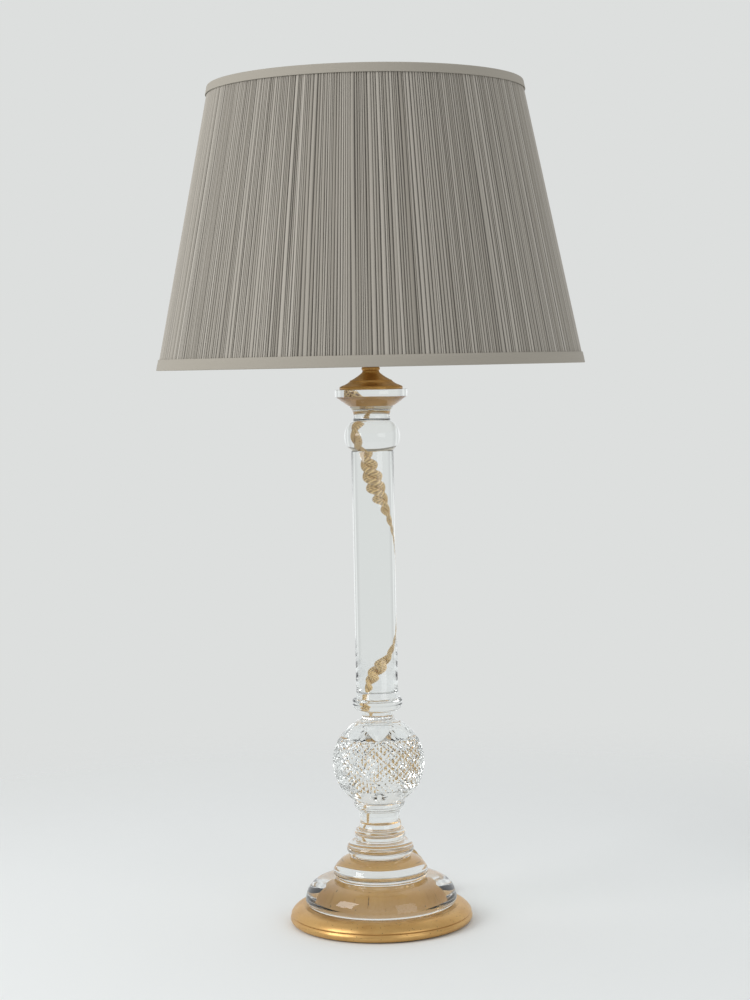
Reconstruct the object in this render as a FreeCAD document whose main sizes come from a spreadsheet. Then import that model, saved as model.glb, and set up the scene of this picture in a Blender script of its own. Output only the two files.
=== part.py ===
import FreeCAD, Part
import math
import os

import Sketcher
from FreeCAD import Placement, Rotation, Vector

# A candlestick table lamp: a gilded turned plinth, a stack of bonded clear glass turnings, a gilded
# cap, a switched bayonet lampholder, a wire carrier and a gathered cloth shade, with a twisted flex.
# Millimetres and degrees.  +Z is up, the origin is under the plinth, -Y is the front.

SIZES = {
    # plinth
    "felt_radius": 93.0,            # baize pad under the plinth
    "felt_thickness": 1.5,
    "plinth_radius": 98.8,          # over the bottom band
    "plinth_height": 17.9,
    "plinth_band_height": 8.2,      # plain band under the crease
    "plinth_seat_radius": 84.5,     # flat top that the glass stands on
    # glass turnings, from the bottom up
    "foot_dome_radius": 81.8,
    "foot_dome_height": 28.8,
    "upper_dome_radius": 51.4,
    "upper_dome_height": 24.0,
    "knop_ring_radius": 36.2,
    "knop_ring_height": 16.0,
    "stem_radius": 27.4,
    "stem_height": 25.3,
    "ball_cup_radius": 27.6,
    "ball_cup_height": 18.5,
    "cut_ball_radius": 49.9,
    "cut_ball_height": 87.6,
    "ball_neck_radius": 19.9,
    "ball_neck_height": 10.4,
    "column_collar_radius": 26.6,
    "column_collar_height": 14.5,
    "column_rod_radius": 22.6,
    "column_rod_height": 266.8,
    "column_ball_radius": 30.0,
    "column_ball_height": 32.5,
    "top_cone_radius": 38.0,
    "top_cone_height": 25.7,
    "top_disc_radius": 39.1,
    "top_disc_height": 7.8,
    # gilded cap and its threaded nipple
    "cap_radius": 33.9,
    "cap_height": 24.5,
    "cap_floor": 7.0,               # metal left under the blind tapped hole
    "thread_radius": 5.0,           # ten millimetre lamp thread
    "thread_clearance": 0.05,
    "nipple_bore_radius": 3.75,
    "nipple_length": 26.0,
    "nut_flats": 14.0,
    "nut_thickness": 3.0,
    # lampholder
    "holder_radius": 17.0,
    "holder_base_height": 27.2,
    "holder_wall": 1.2,
    "holder_floor": 2.6,
    "skirt_height": 40.0,
    "skirt_flange": 3.0,
    "skirt_thread_radius": 14.25,
    "skirt_thread_height": 25.0,
    "skirt_rim_radius": 12.9,
    "skirt_bore_radius": 11.5,
    "entry_slope": 30.0,            # the flex entry points back and this far down
    "entry_height": 22.2,           # where the entry's axis crosses the holder's own, over its base
    "entry_boss_radius": 7.0,
    "entry_boss_reach": 23.7,       # from the holder's axis to the boss's face
    "grip_spigot_radius": 4.6,
    "grip_spigot_length": 6.5,
    "grip_flange_radius": 6.4,
    "grip_flange_thickness": 3.0,
    "grip_root_radius": 5.6,
    "grip_tip_radius": 4.6,
    "grip_length": 24.0,            # outside the boss
    "running_gap": 0.08,            # round pieces that turn or slide in a bore
    "face_gap": 0.2,                # flat faces that turn on each other
    # switch
    "bar_radius": 2.4,
    "bar_height": 15.2,             # its axis over the holder's base
    "bar_travel": 6.0,
    "button_radius": 3.6,
    "button_length": 5.0,
    "switch_block_width": 16.0,
    "switch_block_depth": 13.0,
    "switch_block_height": 15.5,
    # contacts
    "contact_block_height": 21.0,
    "contact_block_sink": 3.0,      # how far it reaches down into the holder's base
    "contact_spacing": 8.0,
    "plunger_radius": 1.9,
    "plunger_length": 12.0,
    "plunger_reach": 3.0,           # how far the plungers stand out of the block
    "spring_radius": 1.3,
    "spring_wire": 0.4,
    "spring_turns": 4,
    # shade rings and carrier
    "shade_ring_radius": 21.0,
    "shade_ring_height": 5.0,
    "shade_ring_lift": 5.0,         # lower ring over the skirt's foot
    "carrier_plate_thickness": 1.5,
    "carrier_wire": 3.4,
    "ring_to_wire": 0.3,            # between the upper shade ring and the uprights' feet
    "carrier_half_width": 53.0,
    "carrier_knee_low": 7.0,        # knees of the uprights, over the plate
    "carrier_knee_high": 30.0,
    "carrier_height": 214.7,        # plate to the middle of the top ring
    "carrier_ring_radius": 53.0,
    "frame_wire": 4.0,              # wire of the rings
    "ring_seat_step": 2.5,          # the shade's ring is this much wider than the carrier's
    "ring_seat_gap": 0.3,
    # shade
    "gimbal_drop": 36.7,            # ring of the shade under its top wire
    "gimbal_arms": 4,
    "shade_height": 299.0,
    "shade_top_radius": 166.6,
    "shade_bottom_radius": 227.5,
    "cover_thickness": 1.4,
    "lining_thickness": 0.8,
    "strut_wire": 3.0,
    "strut_count": 8,
    "layer_gap": 0.1,
    "trim_thickness": 1.1,
    "top_trim_width": 9.7,
    "bottom_trim_width": 11.6,
    # bulb
    "bulb_cap_radius": 11.0,
    "bulb_cap_height": 25.0,
    "bulb_cap_wall": 0.4,
    "bulb_pin_radius": 1.0,
    "bulb_pin_reach": 13.4,
    "bulb_pin_height": 6.6,
    "bulb_contact_gap": 0.3,
    "bulb_radius": 30.0,
    "bulb_length": 106.5,
    "bulb_neck_radius": 10.2,
    "bulb_wall": 0.8,
    "bulb_twist": 20.0,
    "slot_width": 2.7,
    "filament_count": 4,
    "filament_radius": 0.9,
    "filament_length": 32.0,
    "filament_ring_radius": 8.0,
    # flex, coil and plug
    "cord_diameter": 7.2,
    "coil_outer_radius": 46.0,      # of the middle of the outermost turn
    "coil_turn_pitch": 7.7,
    "coil_turns": 4.5,
    "tie_thickness": 0.8,
    "tie_width": 7.0,
    "tie_gap": 0.15,
    "boot_length": 22.0,
    "boot_root_radius": 5.8,
    "boot_tip_radius": 4.5,
    "plug_width": 35.3,
    "plug_thickness": 13.7,
    "plug_length": 30.0,
    "plug_nose_width": 26.0,
    "pin_radius": 2.0,
    "pin_length": 19.0,
    "pin_spacing": 18.6,
}

# The flex as it hangs and lies, point by point: out of the grip, down behind the glass, against the
# column, off it again and over the back of the foot to the coil.
DROP_ROUTE = (
    (1.0, 54.8, 591.3),
    (2.8, 58.8, 576.5),
    (5.0, 56.0, 556.0),
    (5.5, 49.5, 532.0),
    (4.0, 44.0, 508.0),
    (0.8, 41.0, 484.0),
    (-2.6, 40.5, 460.0),
    (-6.5, 37.5, 436.0),
    (-13.5, 30.5, 413.0),
    (-17.9, 22.8, 388.0),
    (-18.2, 20.6, 354.0),
    (-17.2, 22.6, 328.0),
    (-11.8, 32.0, 303.0),
    (-4.5, 40.0, 281.0),
    (1.5, 43.5, 258.0),
    (7.5, 48.5, 234.0),
    (12.5, 57.0, 206.0),
    (15.3, 62.0, 174.0),
    (15.5, 61.6, 140.0),
    (17.0, 61.5, 108.0),
    (21.5, 64.5, 84.0),
    (29.0, 72.5, 66.5),
    (38.0, 83.0, 52.5),
    (46.8, 95.7, 39.6),
    (46.5, 105.1, 26.4),
    (38.9, 110.7, 14.5),
    (26.1, 111.7, 6.5),
    (10.5, 107.7, 4.5),
    (-3.0, 104.1, 4.5),
)
COIL_CENTRE = (-12.0, 150.0)
COIL_START_ANGLE = -92.0            # degrees; the turns run clockwise seen from above
TAIL_ROUTE = (
    (18.0, 194.9, 11.4),
    (31.0, 193.8, 10.2),
    (42.1, 191.2, 8.9),
    (51.5, 185.3, 7.8),
    (57.7, 176.4, 7.1),
    (60.0, 166.0, 6.85),
    (60.0, 160.0, 6.85),
)
GRIP_START = 30.0                   # along the entry's axis: where the flex begins, inside the grip
GRIP_LEAVE = 54.0                   # and where it leaves that axis, past the grip's tip

doc = FreeCAD.newDocument("candlestick_lamp")


def fill_sheet():
    """Write every size into the sheet as a plain number with an alias."""
    sheet = doc.addObject("Spreadsheet::Sheet", "Sizes")
    for row, (alias, amount) in enumerate(SIZES.items(), start=1):
        sheet.set(f"A{row}", alias)
        sheet.set(f"B{row}", str(amount))
        sheet.setAlias(f"B{row}", alias)
    doc.recompute()


class Size:
    """A length or an angle: its value, and the expression that ties it to the sheet."""

    def __init__(self, value, words):
        self.value = value
        self.words = words

    def __add__(self, other):
        other = sized(other)
        return Size(self.value + other.value, f"({self.words} + {other.words})")

    def __sub__(self, other):
        other = sized(other)
        return Size(self.value - other.value, f"({self.words} - {other.words})")

    def __mul__(self, other):
        other = sized(other)
        return Size(self.value * other.value, f"({self.words} * {other.words})")

    def __truediv__(self, other):
        other = sized(other)
        return Size(self.value / other.value, f"({self.words} / {other.words})")

    def __neg__(self):
        return Size(-self.value, f"(0 - {self.words})")

    def __radd__(self, other):
        return sized(other) + self

    def __rsub__(self, other):
        return sized(other) - self

    def __rmul__(self, other):
        return sized(other) * self


def sized(amount):
    """A plain number as a Size; a Size as it is."""
    if isinstance(amount, Size):
        return amount
    return Size(float(amount), f"({float(amount)!r})")


def cell(alias):
    """The Size that a cell of the sheet holds."""
    return Size(float(SIZES[alias]), f"Sizes.{alias}")


def turned(angle, kind):
    """The sine, cosine or tangent of an angle Size, as a Size."""
    value = getattr(math, kind)(math.radians(angle.value))
    return Size(value, f"{kind}({angle.words} * 1 deg)")


def tie(thing, path, amount):
    """Bind one property of an object to the sheet."""
    thing.setExpression(path, sized(amount).words)


def place(thing, x=0.0, y=0.0, z=0.0):
    """Bind an object's position to the sheet."""
    for axis, amount in (("x", x), ("y", y), ("z", z)):
        tie(thing, f"Placement.Base.{axis}", amount)
    return thing


def turn_to(thing, axis, angle):
    """Turn an object about an axis through its own origin."""
    thing.Placement = Placement(Vector(), Rotation(Vector(*axis), sized(angle).value))
    tie(thing, "Placement.Rotation.Angle", sized(angle))
    return thing


PARTS = []


def keep(thing, name):
    """Name a finished piece, and list it for the files."""
    thing.Label = name
    PARTS.append(thing)
    return thing


# ------------------------------------------------------------------ ways to make a piece
def circle_through(start, middle, end):
    """Centre of the circle through three points of a sketch."""
    rise = [(p.x ** 2 + p.y ** 2) for p in (start, middle, end)]
    cross = 2 * (start.x * (middle.y - end.y) + middle.x * (end.y - start.y) + end.x * (start.y - middle.y))
    x = (rise[0] * (middle.y - end.y) + rise[1] * (end.y - start.y) + rise[2] * (start.y - middle.y)) / cross
    y = (rise[0] * (end.x - middle.x) + rise[1] * (start.x - end.x) + rise[2] * (middle.x - start.x)) / cross
    return Vector(x, y, 0)


def sketch_arc(start, middle, end):
    """An arc for a sketch, and whether it begins at the first point."""
    centre = circle_through(start, middle, end)
    forward = (middle - start).cross(end - middle).z > 0
    first, last = (start, end) if forward else (end, start)
    angles = [math.atan2(p.y - centre.y, p.x - centre.x) for p in (first, last)]
    if angles[1] < angles[0]:
        angles[1] += 2 * math.pi
    circle = Part.Circle(centre, Vector(0, 0, 1), (start - centre).Length)
    return Part.ArcOfCircle(circle, angles[0], angles[1]), forward


def draw(sketch, outline):
    """Draw a closed outline and hold every corner to the sheet.

    A corner is (across, up); (through across, through up, across, up) reaches it by an arc.
    """
    corners = [(sized(point[-2]), sized(point[-1])) for point in outline]
    spots = [Vector(across.value, up.value, 0) for across, up in corners]
    rules, sums, ends = [], [], []

    def hold(spot, across, up):
        for kind, amount, axis in (("DistanceX", across, -2), ("DistanceY", up, -1)):
            if amount.value == 0 and "Sizes" not in amount.words:
                rules.append(Sketcher.Constraint("PointOnObject", spot[0], spot[1], axis))
            else:
                sums.append((len(rules), amount.words))
                rules.append(Sketcher.Constraint(kind, -1, 1, spot[0], spot[1], amount.value))

    for place_number, point in enumerate(outline):
        start, end = spots[place_number - 1], spots[place_number]
        if len(point) == 4:
            through = (sized(point[0]), sized(point[1]))
            middle = Vector(through[0].value, through[1].value, 0)
            arc, forward = sketch_arc(start, middle, end)
            edge = sketch.addGeometry(arc, False)
            mark = sketch.addGeometry(Part.Point(middle), True)
            rules.append(Sketcher.Constraint("PointOnObject", mark, 1, edge))
            hold((mark, 1), *through)
            ends.append(((edge, 1), (edge, 2)) if forward else ((edge, 2), (edge, 1)))
        else:
            edge = sketch.addGeometry(Part.LineSegment(start, end), False)
            ends.append(((edge, 1), (edge, 2)))
    for place_number, (first, last) in enumerate(ends):
        before = ends[place_number - 1][1]
        rules.append(Sketcher.Constraint("Coincident", before[0], before[1], first[0], first[1]))
        hold(last, *corners[place_number])
    sketch.addConstraint(rules)
    for number, words in sums:
        sketch.setExpression(f"Constraints[{number}]", words)


def new_sketch(body, plane, name):
    """A sketch on one of a body's own planes."""
    sketch = body.newObject("Sketcher::SketchObject", name)
    flat = next(feature for feature in body.Origin.OriginFeatures if feature.Role == plane)
    sketch.AttachmentSupport = [(flat, "")]
    sketch.MapMode = "FlatFace"
    return sketch


def lathe(name, outline):
    """A body turned about Z from an outline of (radius, height) corners."""
    body = doc.addObject("PartDesign::Body", name)
    sketch = new_sketch(body, "XZ_Plane", f"{name}_outline")
    draw(sketch, outline)
    turning = body.newObject("PartDesign::Revolution", f"{name}_turning")
    turning.Profile = sketch
    turning.ReferenceAxis = (sketch, ["V_Axis"])
    turning.Angle = 360
    return body


def shares(radius, height, outline):
    """An outline written in shares of a piece's own radius and height, as sizes."""
    scale = (radius, height)
    return [tuple(share * scale[n % 2] if share else sized(0) for n, share in enumerate(point))
            for point in outline]


def cylinder(name, radius, height):
    """A plain cylinder standing on its own origin."""
    solid = doc.addObject("Part::Cylinder", name)
    tie(solid, "Radius", radius)
    tie(solid, "Height", height)
    return solid


def block(name, width, depth, height):
    """A plain block, centred across and standing on its own origin."""
    solid = doc.addObject("Part::Box", name)
    tie(solid, "Length", width)
    tie(solid, "Width", depth)
    tie(solid, "Height", height)
    return place(solid, -width / 2, -depth / 2)


def cut(name, base, *tools):
    """One piece with others taken out of it."""
    tool = tools[0]
    if len(tools) > 1:
        tool = doc.addObject("Part::MultiFuse", f"{name}_cuts")
        tool.Shapes = list(tools)
    result = doc.addObject("Part::Cut", name)
    result.Base = base
    result.Tool = tool
    return result


def fuse(name, *pieces):
    """Several solids as one piece, or as one group of separate solids."""
    result = doc.addObject("Part::MultiFuse", name)
    result.Shapes = list(pieces)
    return result


def ring(name, radius, wire):
    """A wire ring, flat, its middle at its own origin."""
    solid = doc.addObject("Part::Torus", name)
    tie(solid, "Radius1", radius)
    tie(solid, "Radius2", wire / 2)
    return solid


def path_through(points):
    """Straight runs joined by tangent arcs as large as the runs allow, and the arcs' radii."""
    spots = [Vector(*point) for point in points]
    edges, radii, start = [], [], spots[0]
    for before, corner, after in zip(spots, spots[1:], spots[2:]):
        run_in, run_out = corner - before, after - corner
        reach = 0.45 * min(run_in.Length, run_out.Length)
        half_turn = run_in.getAngle(run_out) / 2
        radii.append(reach / math.tan(half_turn))
        first = corner - run_in.normalize() * reach
        last = corner + run_out.normalize() * reach
        chord = (first + last) / 2
        middle = chord + (corner - chord) * (math.tan(half_turn / 2) / math.tan(half_turn))
        edges.append(Part.LineSegment(start, first).toShape())
        edges.append(Part.Arc(first, middle, last).toShape())
        start = last
    edges.append(Part.LineSegment(start, spots[-1]).toShape())
    return Part.Wire(edges), radii


def biarc(start, heading, end, last_heading):
    """Two tangent arcs from one point and heading to another."""
    across = end - start
    both = heading + last_heading
    spread = 2 * (1 - heading.dot(last_heading))
    along = across.dot(both)
    reach = (math.sqrt(along ** 2 + spread * across.dot(across)) - along) / spread
    joint = (start + end + (heading - last_heading) * reach) / 2
    arcs = []
    for first, last, corner in ((start, joint, start + heading * reach), (joint, end, end - last_heading * reach)):
        chord = (first + last) / 2
        half_turn = (corner - first).getAngle(last - first)
        middle = chord + (corner - chord) * (math.tan(half_turn / 2) / math.tan(half_turn))
        arcs.append(Part.Arc(first, middle, last).toShape())
    return arcs


def sweep(path, radius):
    """A round tube along a path, checked against its section times its length."""
    first = path.OrderedEdges[0]
    start = first.valueAt(first.FirstParameter)
    heading = first.tangentAt(first.FirstParameter)
    section = Part.Wire(Part.makeCircle(radius, start, heading))
    solid = path.makePipeShell([section], True, False)
    expected = math.pi * radius ** 2 * path.Length
    if abs(solid.Volume / expected - 1) > 0.01:
        raise RuntimeError(f"a tube holds {solid.Volume:.0f} in place of {expected:.0f}")
    return solid


def set_shape(name, shape):
    """A piece whose shape is worked out here."""
    feature = doc.addObject("Part::Feature", name)
    feature.Shape = shape
    return keep(feature, name)


# ------------------------------------------------------------------ plinth and glass
# Outlines in shares of each turning's own radius and height; four numbers make an arc.
GLASS = {
    "foot_dome": ((0, 0), (0.976, 0), (1.0, 0.14, 0.996, 0.333), (0.938, 0.70, 0.807, 0.925),
                  (0.71, 0.985, 0.611, 1), (0, 1)),
    "upper_dome": ((0, 0), (0.926, 0), (1.0, 0.24, 0.962, 0.508), (0.858, 0.77, 0.62, 1), (0, 1)),
    "knop_ring": ((0, 0), (0.87, 0), (1.0, 0.5, 0.86, 1), (0, 1)),
    "stem": ((0, 0), (0.97, 0), (0.95, 0.16), (1.0, 0.34, 0.96, 0.50), (0.86, 0.535),
             (0.80, 0.74, 0.785, 1), (0, 1)),
    "ball_cup": ((0, 0), (0.775, 0), (0.80, 0.36, 0.885, 0.57), (0.945, 0.67), (1.0, 0.84, 0.98, 1), (0, 1)),
    "cut_ball": ((0, 0), (0.533, 0), (1.0, 0.482, 0.415, 1), (0, 1)),
    "ball_neck": ((0, 0), (1.0, 0), (0.88, 0.25, 0.85, 0.6), (0.85, 1), (0, 1)),
    "column_collar": ((0, 0), (0.775, 0), (0.955, 0.27, 1.0, 0.66), (0.985, 0.88, 0.94, 1), (0, 1)),
    "column_rod": ((0, 0), (0.985, 0), (1.0, 0.0015), (1.0, 0.9985), (0.985, 1), (0, 1)),
    "column_ball": ((0, 0), (0.72, 0), (1.0, 0.465, 0.68, 1), (0, 1)),
    "top_cone": ((0, 0), (0.526, 0), (0.512, 0.27, 0.545, 0.43), (0.62, 0.595), (0.663, 0.62), (0.987, 0.97),
                 (1.0, 1), (0, 1)),
    "top_disc": ((0, 0), (0.985, 0), (1.0, 0.08), (1.0, 0.92), (0.985, 1), (0, 1)),
}
CAP_OUTLINE = ((0.98, 0), (1.0, 0.07, 0.965, 0.135), (0.885, 0.18), (0.80, 0.225, 0.632, 0.384), (0.596, 0.415),
               (0.40, 0.585, 0.26, 0.784), (0.292, 0.90, 0.221, 1))


def make_plinth():
    """The felt pad and the gilded plinth; returns the height of its top."""
    felt = cylinder("felt_pad_solid", cell("felt_radius"), cell("felt_thickness"))
    keep(felt, "felt_pad")
    radius, height, band = cell("plinth_radius"), cell("plinth_height"), cell("plinth_band_height")
    seat = cell("plinth_seat_radius")
    rounding = 1.5
    plinth = lathe("plinth_body", [
        (0, 0),
        (radius - rounding, 0),
        (radius, band * 0.45, radius - rounding, band - 0.4),
        (radius - rounding - 0.4, band),
        (radius - rounding + 0.3, band + 0.6),
        (radius - 5.0, height - 3.2, seat, height),
        (0, height),
    ])
    place(plinth, z=cell("felt_thickness"))
    keep(plinth, "gilt_plinth")
    return cell("felt_thickness") + height


def make_glass(level):
    """The bonded glass turnings, each standing on the one below; returns the height of the top."""
    for name, outline in GLASS.items():
        radius, height = cell(f"{name}_radius"), cell(f"{name}_height")
        turning = lathe(f"{name}_body", shares(radius, height, outline))
        place(turning, z=level)
        keep(turning, name)
        level = level + height
    return level


def make_cap(level):
    """The gilded cap, the threaded nipple and the nut; returns the height of the nut's top."""
    radius, height, floor = cell("cap_radius"), cell("cap_height"), cell("cap_floor")
    thread, play = cell("thread_radius"), cell("thread_clearance")
    cap = lathe("cap_body", [
        (0, 0),
        *shares(radius, height, CAP_OUTLINE),
        (thread, height),
        (thread, floor),
        (0, floor),
    ])
    place(cap, z=level)
    keep(cap, "gilt_cap")
    nipple = lathe("nipple_body", [
        (cell("nipple_bore_radius"), 0),
        (thread - play, 0),
        (thread - play, cell("nipple_length")),
        (cell("nipple_bore_radius"), cell("nipple_length")),
    ])
    place(nipple, z=level + floor + play)
    keep(nipple, "threaded_nipple")
    hexagon = doc.addObject("Part::Prism", "nut_hexagon")
    hexagon.Polygon = 6
    tie(hexagon, "Circumradius", cell("nut_flats") / math.sqrt(3))
    tie(hexagon, "Height", cell("nut_thickness"))
    nut = cut("nut", hexagon, cylinder("nut_bore", thread, cell("nut_thickness")))
    place(nut, z=level + height)
    keep(nut, "lock_nut")
    return level + height + cell("nut_thickness")


# ------------------------------------------------------------------ lampholder
def along_entry(level, reach):
    """A point on the flex entry's axis, so far from the holder's own axis."""
    slope = cell("entry_slope")
    return reach * turned(slope, "cos"), level + cell("entry_height") - reach * turned(slope, "sin")


def tilt_to_entry(thing, level, reach):
    """Stand a piece on the entry's axis, its +Z pointing out of the holder, back and down."""
    turn_to(thing, (-1, 0, 0), cell("entry_slope") + 90)
    across, up = along_entry(level, reach)
    return place(thing, 0.0, across, up)


def make_holder_base(level):
    """The lower cup of the lampholder, with its flex entry and the grip in it."""
    radius, height = cell("holder_radius"), cell("holder_base_height")
    wall, floor, thread = cell("holder_wall"), cell("holder_floor"), cell("thread_radius")
    shoulder = 9.2
    outside = lathe("holder_outside", [
        (0, 0),
        (radius - 9.0, 0),
        (radius - 2.5, 3.2, radius, shoulder),
        (radius, height),
        (0, height),
    ])
    inside = lathe("holder_inside", [
        (0, floor),
        (radius - 9.0, floor),
        (radius - 2.8 - wall, floor + 2.4, radius - wall, shoulder + 1.0),
        (radius - wall, height),
        (0, height),
    ])
    boss = cylinder("entry_boss", cell("entry_boss_radius"), cell("entry_boss_reach") - 12.0)
    bore = cylinder("entry_bore", cell("grip_spigot_radius") + cell("thread_clearance"), 20.0)
    for body in (outside, inside):
        place(body, z=level)
    tilt_to_entry(boss, level, sized(12.0))
    tilt_to_entry(bore, level, cell("entry_boss_reach") - 18.0)
    thread_hole = place(cylinder("holder_thread", thread, floor + 1.0), z=level)
    bar_hole = cylinder("bar_hole", cell("bar_radius") + cell("running_gap"), radius * 2 + 2.0)
    turn_to(bar_hole, (0, 1, 0), 90)
    place(bar_hole, -radius - 1.0, 0.0, level + cell("bar_height"))
    cup = cut("holder_cup", fuse("holder_blank", outside, boss), inside, bore, thread_hole, bar_hole)
    keep(cup, "holder_base")

    spigot, flange = cell("grip_spigot_length"), cell("grip_flange_thickness")
    tip = spigot + cell("grip_length")
    flex = cell("cord_diameter") / 2 + 0.15
    grip = lathe("grip_body", [
        (flex, 0),
        (cell("grip_spigot_radius"), 0),
        (cell("grip_spigot_radius"), spigot),
        (cell("grip_flange_radius"), spigot),
        (cell("grip_flange_radius"), spigot + flange),
        (cell("grip_root_radius"), spigot + flange),
        (cell("grip_tip_radius"), tip),
        (flex, tip),
    ])
    tilt_to_entry(grip, level, cell("entry_boss_reach") - spigot)
    keep(grip, "cord_grip")
    return level + height


def make_switch(level):
    """The push bar through the holder's base, and the insulating block over it that guides it."""
    height = level + cell("bar_height")
    radius, knob = cell("bar_radius"), cell("button_radius")
    stop = cell("holder_radius") + 0.3
    low, high = -stop - cell("bar_travel"), stop
    crown = 1.4
    bar = lathe("bar_body", [
        (0, low - cell("button_length")),
        (knob - crown, low - cell("button_length")),
        (knob, low - cell("button_length") + crown),
        (knob, low),
        (radius, low),
        (radius, high),
        (knob, high),
        (knob, high + cell("button_length") - crown),
        (knob - crown, high + cell("button_length")),
        (0, high + cell("button_length")),
    ])
    turn_to(bar, (0, 1, 0), 90)
    place(bar, z=height)
    keep(bar, "switch_bar")
    top = level + cell("holder_base_height") - cell("contact_block_sink")
    body = place_block("switch_block_body", top - cell("switch_block_height"))
    guide = cylinder("switch_guide", radius + cell("running_gap"), cell("switch_block_width") + 2.0)
    turn_to(guide, (0, 1, 0), 90)
    place(guide, -(cell("switch_block_width") / 2) - 1.0, 0.0, height)
    keep(cut("switch_guide_block", body, guide), "switch_block")


def place_block(name, bottom):
    """The switch's block, centred on the holder's axis."""
    width, depth = cell("switch_block_width"), cell("switch_block_depth")
    body = block(name, width, depth, cell("switch_block_height"))
    return place(body, -width / 2, -depth / 2, bottom)


def make_skirt(level):
    """The threaded skirt with its two bayonet slots; returns the height of its rim."""
    height, bore = cell("skirt_height"), cell("skirt_bore_radius")
    flange, thread = cell("skirt_flange"), cell("skirt_thread_radius")
    threaded = flange + cell("skirt_thread_height")
    tube = lathe("skirt_tube", [
        (bore, 0),
        (cell("holder_radius"), 0),
        (cell("holder_radius"), flange),
        (thread, flange),
        (thread, threaded),
        (cell("skirt_rim_radius"), threaded + 1.0),
        (cell("skirt_rim_radius"), height),
        (bore, height),
    ])
    half_slot = Size(math.degrees(math.asin(SIZES["slot_width"] / 2 / SIZES["skirt_rim_radius"])),
                     "(asin(Sizes.slot_width / 2 / Sizes.skirt_rim_radius) / 1 deg)")
    pins = cell("contact_block_height") - cell("contact_block_sink") + cell("plunger_reach")
    floor = pins + cell("bulb_contact_gap") + cell("bulb_pin_height") - cell("slot_width") / 2
    tools = []
    for side in (0.0, 180.0):
        for start, sweep_angle, low, tall in (
            (-half_slot, half_slot * 2 + cell("bulb_twist"), floor, cell("slot_width")),
            (cell("bulb_twist") - half_slot, half_slot * 2, floor, height - floor + 1.0),
        ):
            sector = cylinder(f"slot_{len(tools)}", cell("holder_radius"), tall)
            tie(sector, "Angle", sweep_angle)
            turn_to(sector, (0, 0, 1), start + side)
            tools.append(place(sector, z=low))
    skirt = cut("skirt", tube, *tools)
    place(skirt, z=level)
    keep(skirt, "holder_skirt")
    return level + height


def make_contacts(level):
    """The insulating block in the skirt, its two sprung plungers; returns the plungers' top."""
    tall, sink = cell("contact_block_height"), cell("contact_block_sink")
    radius, reach = cell("plunger_radius"), cell("plunger_reach")
    bottom = level - sink
    depth = cell("plunger_length") - reach
    spring_room = 5.0
    blank = lathe("contact_blank", [
        (0, 0),
        (cell("holder_radius") - cell("holder_wall") - 0.3, 0),
        (cell("holder_radius") - cell("holder_wall") - 0.3, sink),
        (cell("skirt_bore_radius") - 0.2, sink),
        (cell("skirt_bore_radius") - 0.2, tall),
        (0, tall),
    ])
    place(blank, z=bottom)
    holes = []
    for name, side in (("front", -1), ("rear", 1)):
        across = cell("contact_spacing") / 2 * side
        hole = cylinder(f"plunger_hole_{name}", radius + cell("running_gap"), depth + spring_room + 1.0)
        holes.append(place(hole, 0.0, across, bottom + tall - depth - spring_room))
        plunger = lathe(f"plunger_{name}_body", [
            (0, 0),
            (radius, 0),
            (radius, cell("plunger_length") - 0.8),
            (radius - 0.8, cell("plunger_length")),
            (0, cell("plunger_length")),
        ])
        place(plunger, 0.0, across, bottom + tall - depth)
        keep(plunger, f"plunger_{name}")
        make_spring(name, across.value, (bottom + tall - depth - spring_room).value, spring_room)
    keep(cut("contact_body", blank, *holes), "contact_block")
    return bottom + tall + reach


def make_spring(name, across, low, room):
    """A small coil spring of round wire under one plunger."""
    radius, wire, turns = SIZES["spring_radius"], SIZES["spring_wire"], SIZES["spring_turns"]
    rise = room - wire - 0.2
    quarters = int(turns * 4)

    def point(step):
        angle = step * math.pi / 2
        return Vector(radius * math.cos(angle), radius * math.sin(angle) + across,
                      low + 0.1 + wire / 2 + rise * step / quarters)

    def heading(step):
        angle = step * math.pi / 2
        pace = rise / quarters / (math.pi / 2)
        return Vector(-radius * math.sin(angle), radius * math.cos(angle), pace).normalize()

    edges = []
    for step in range(quarters):
        edges += biarc(point(step), heading(step), point(step + 1), heading(step + 1))
    set_shape(f"plunger_spring_{name}", sweep(Part.Wire(edges), wire / 2))


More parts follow.
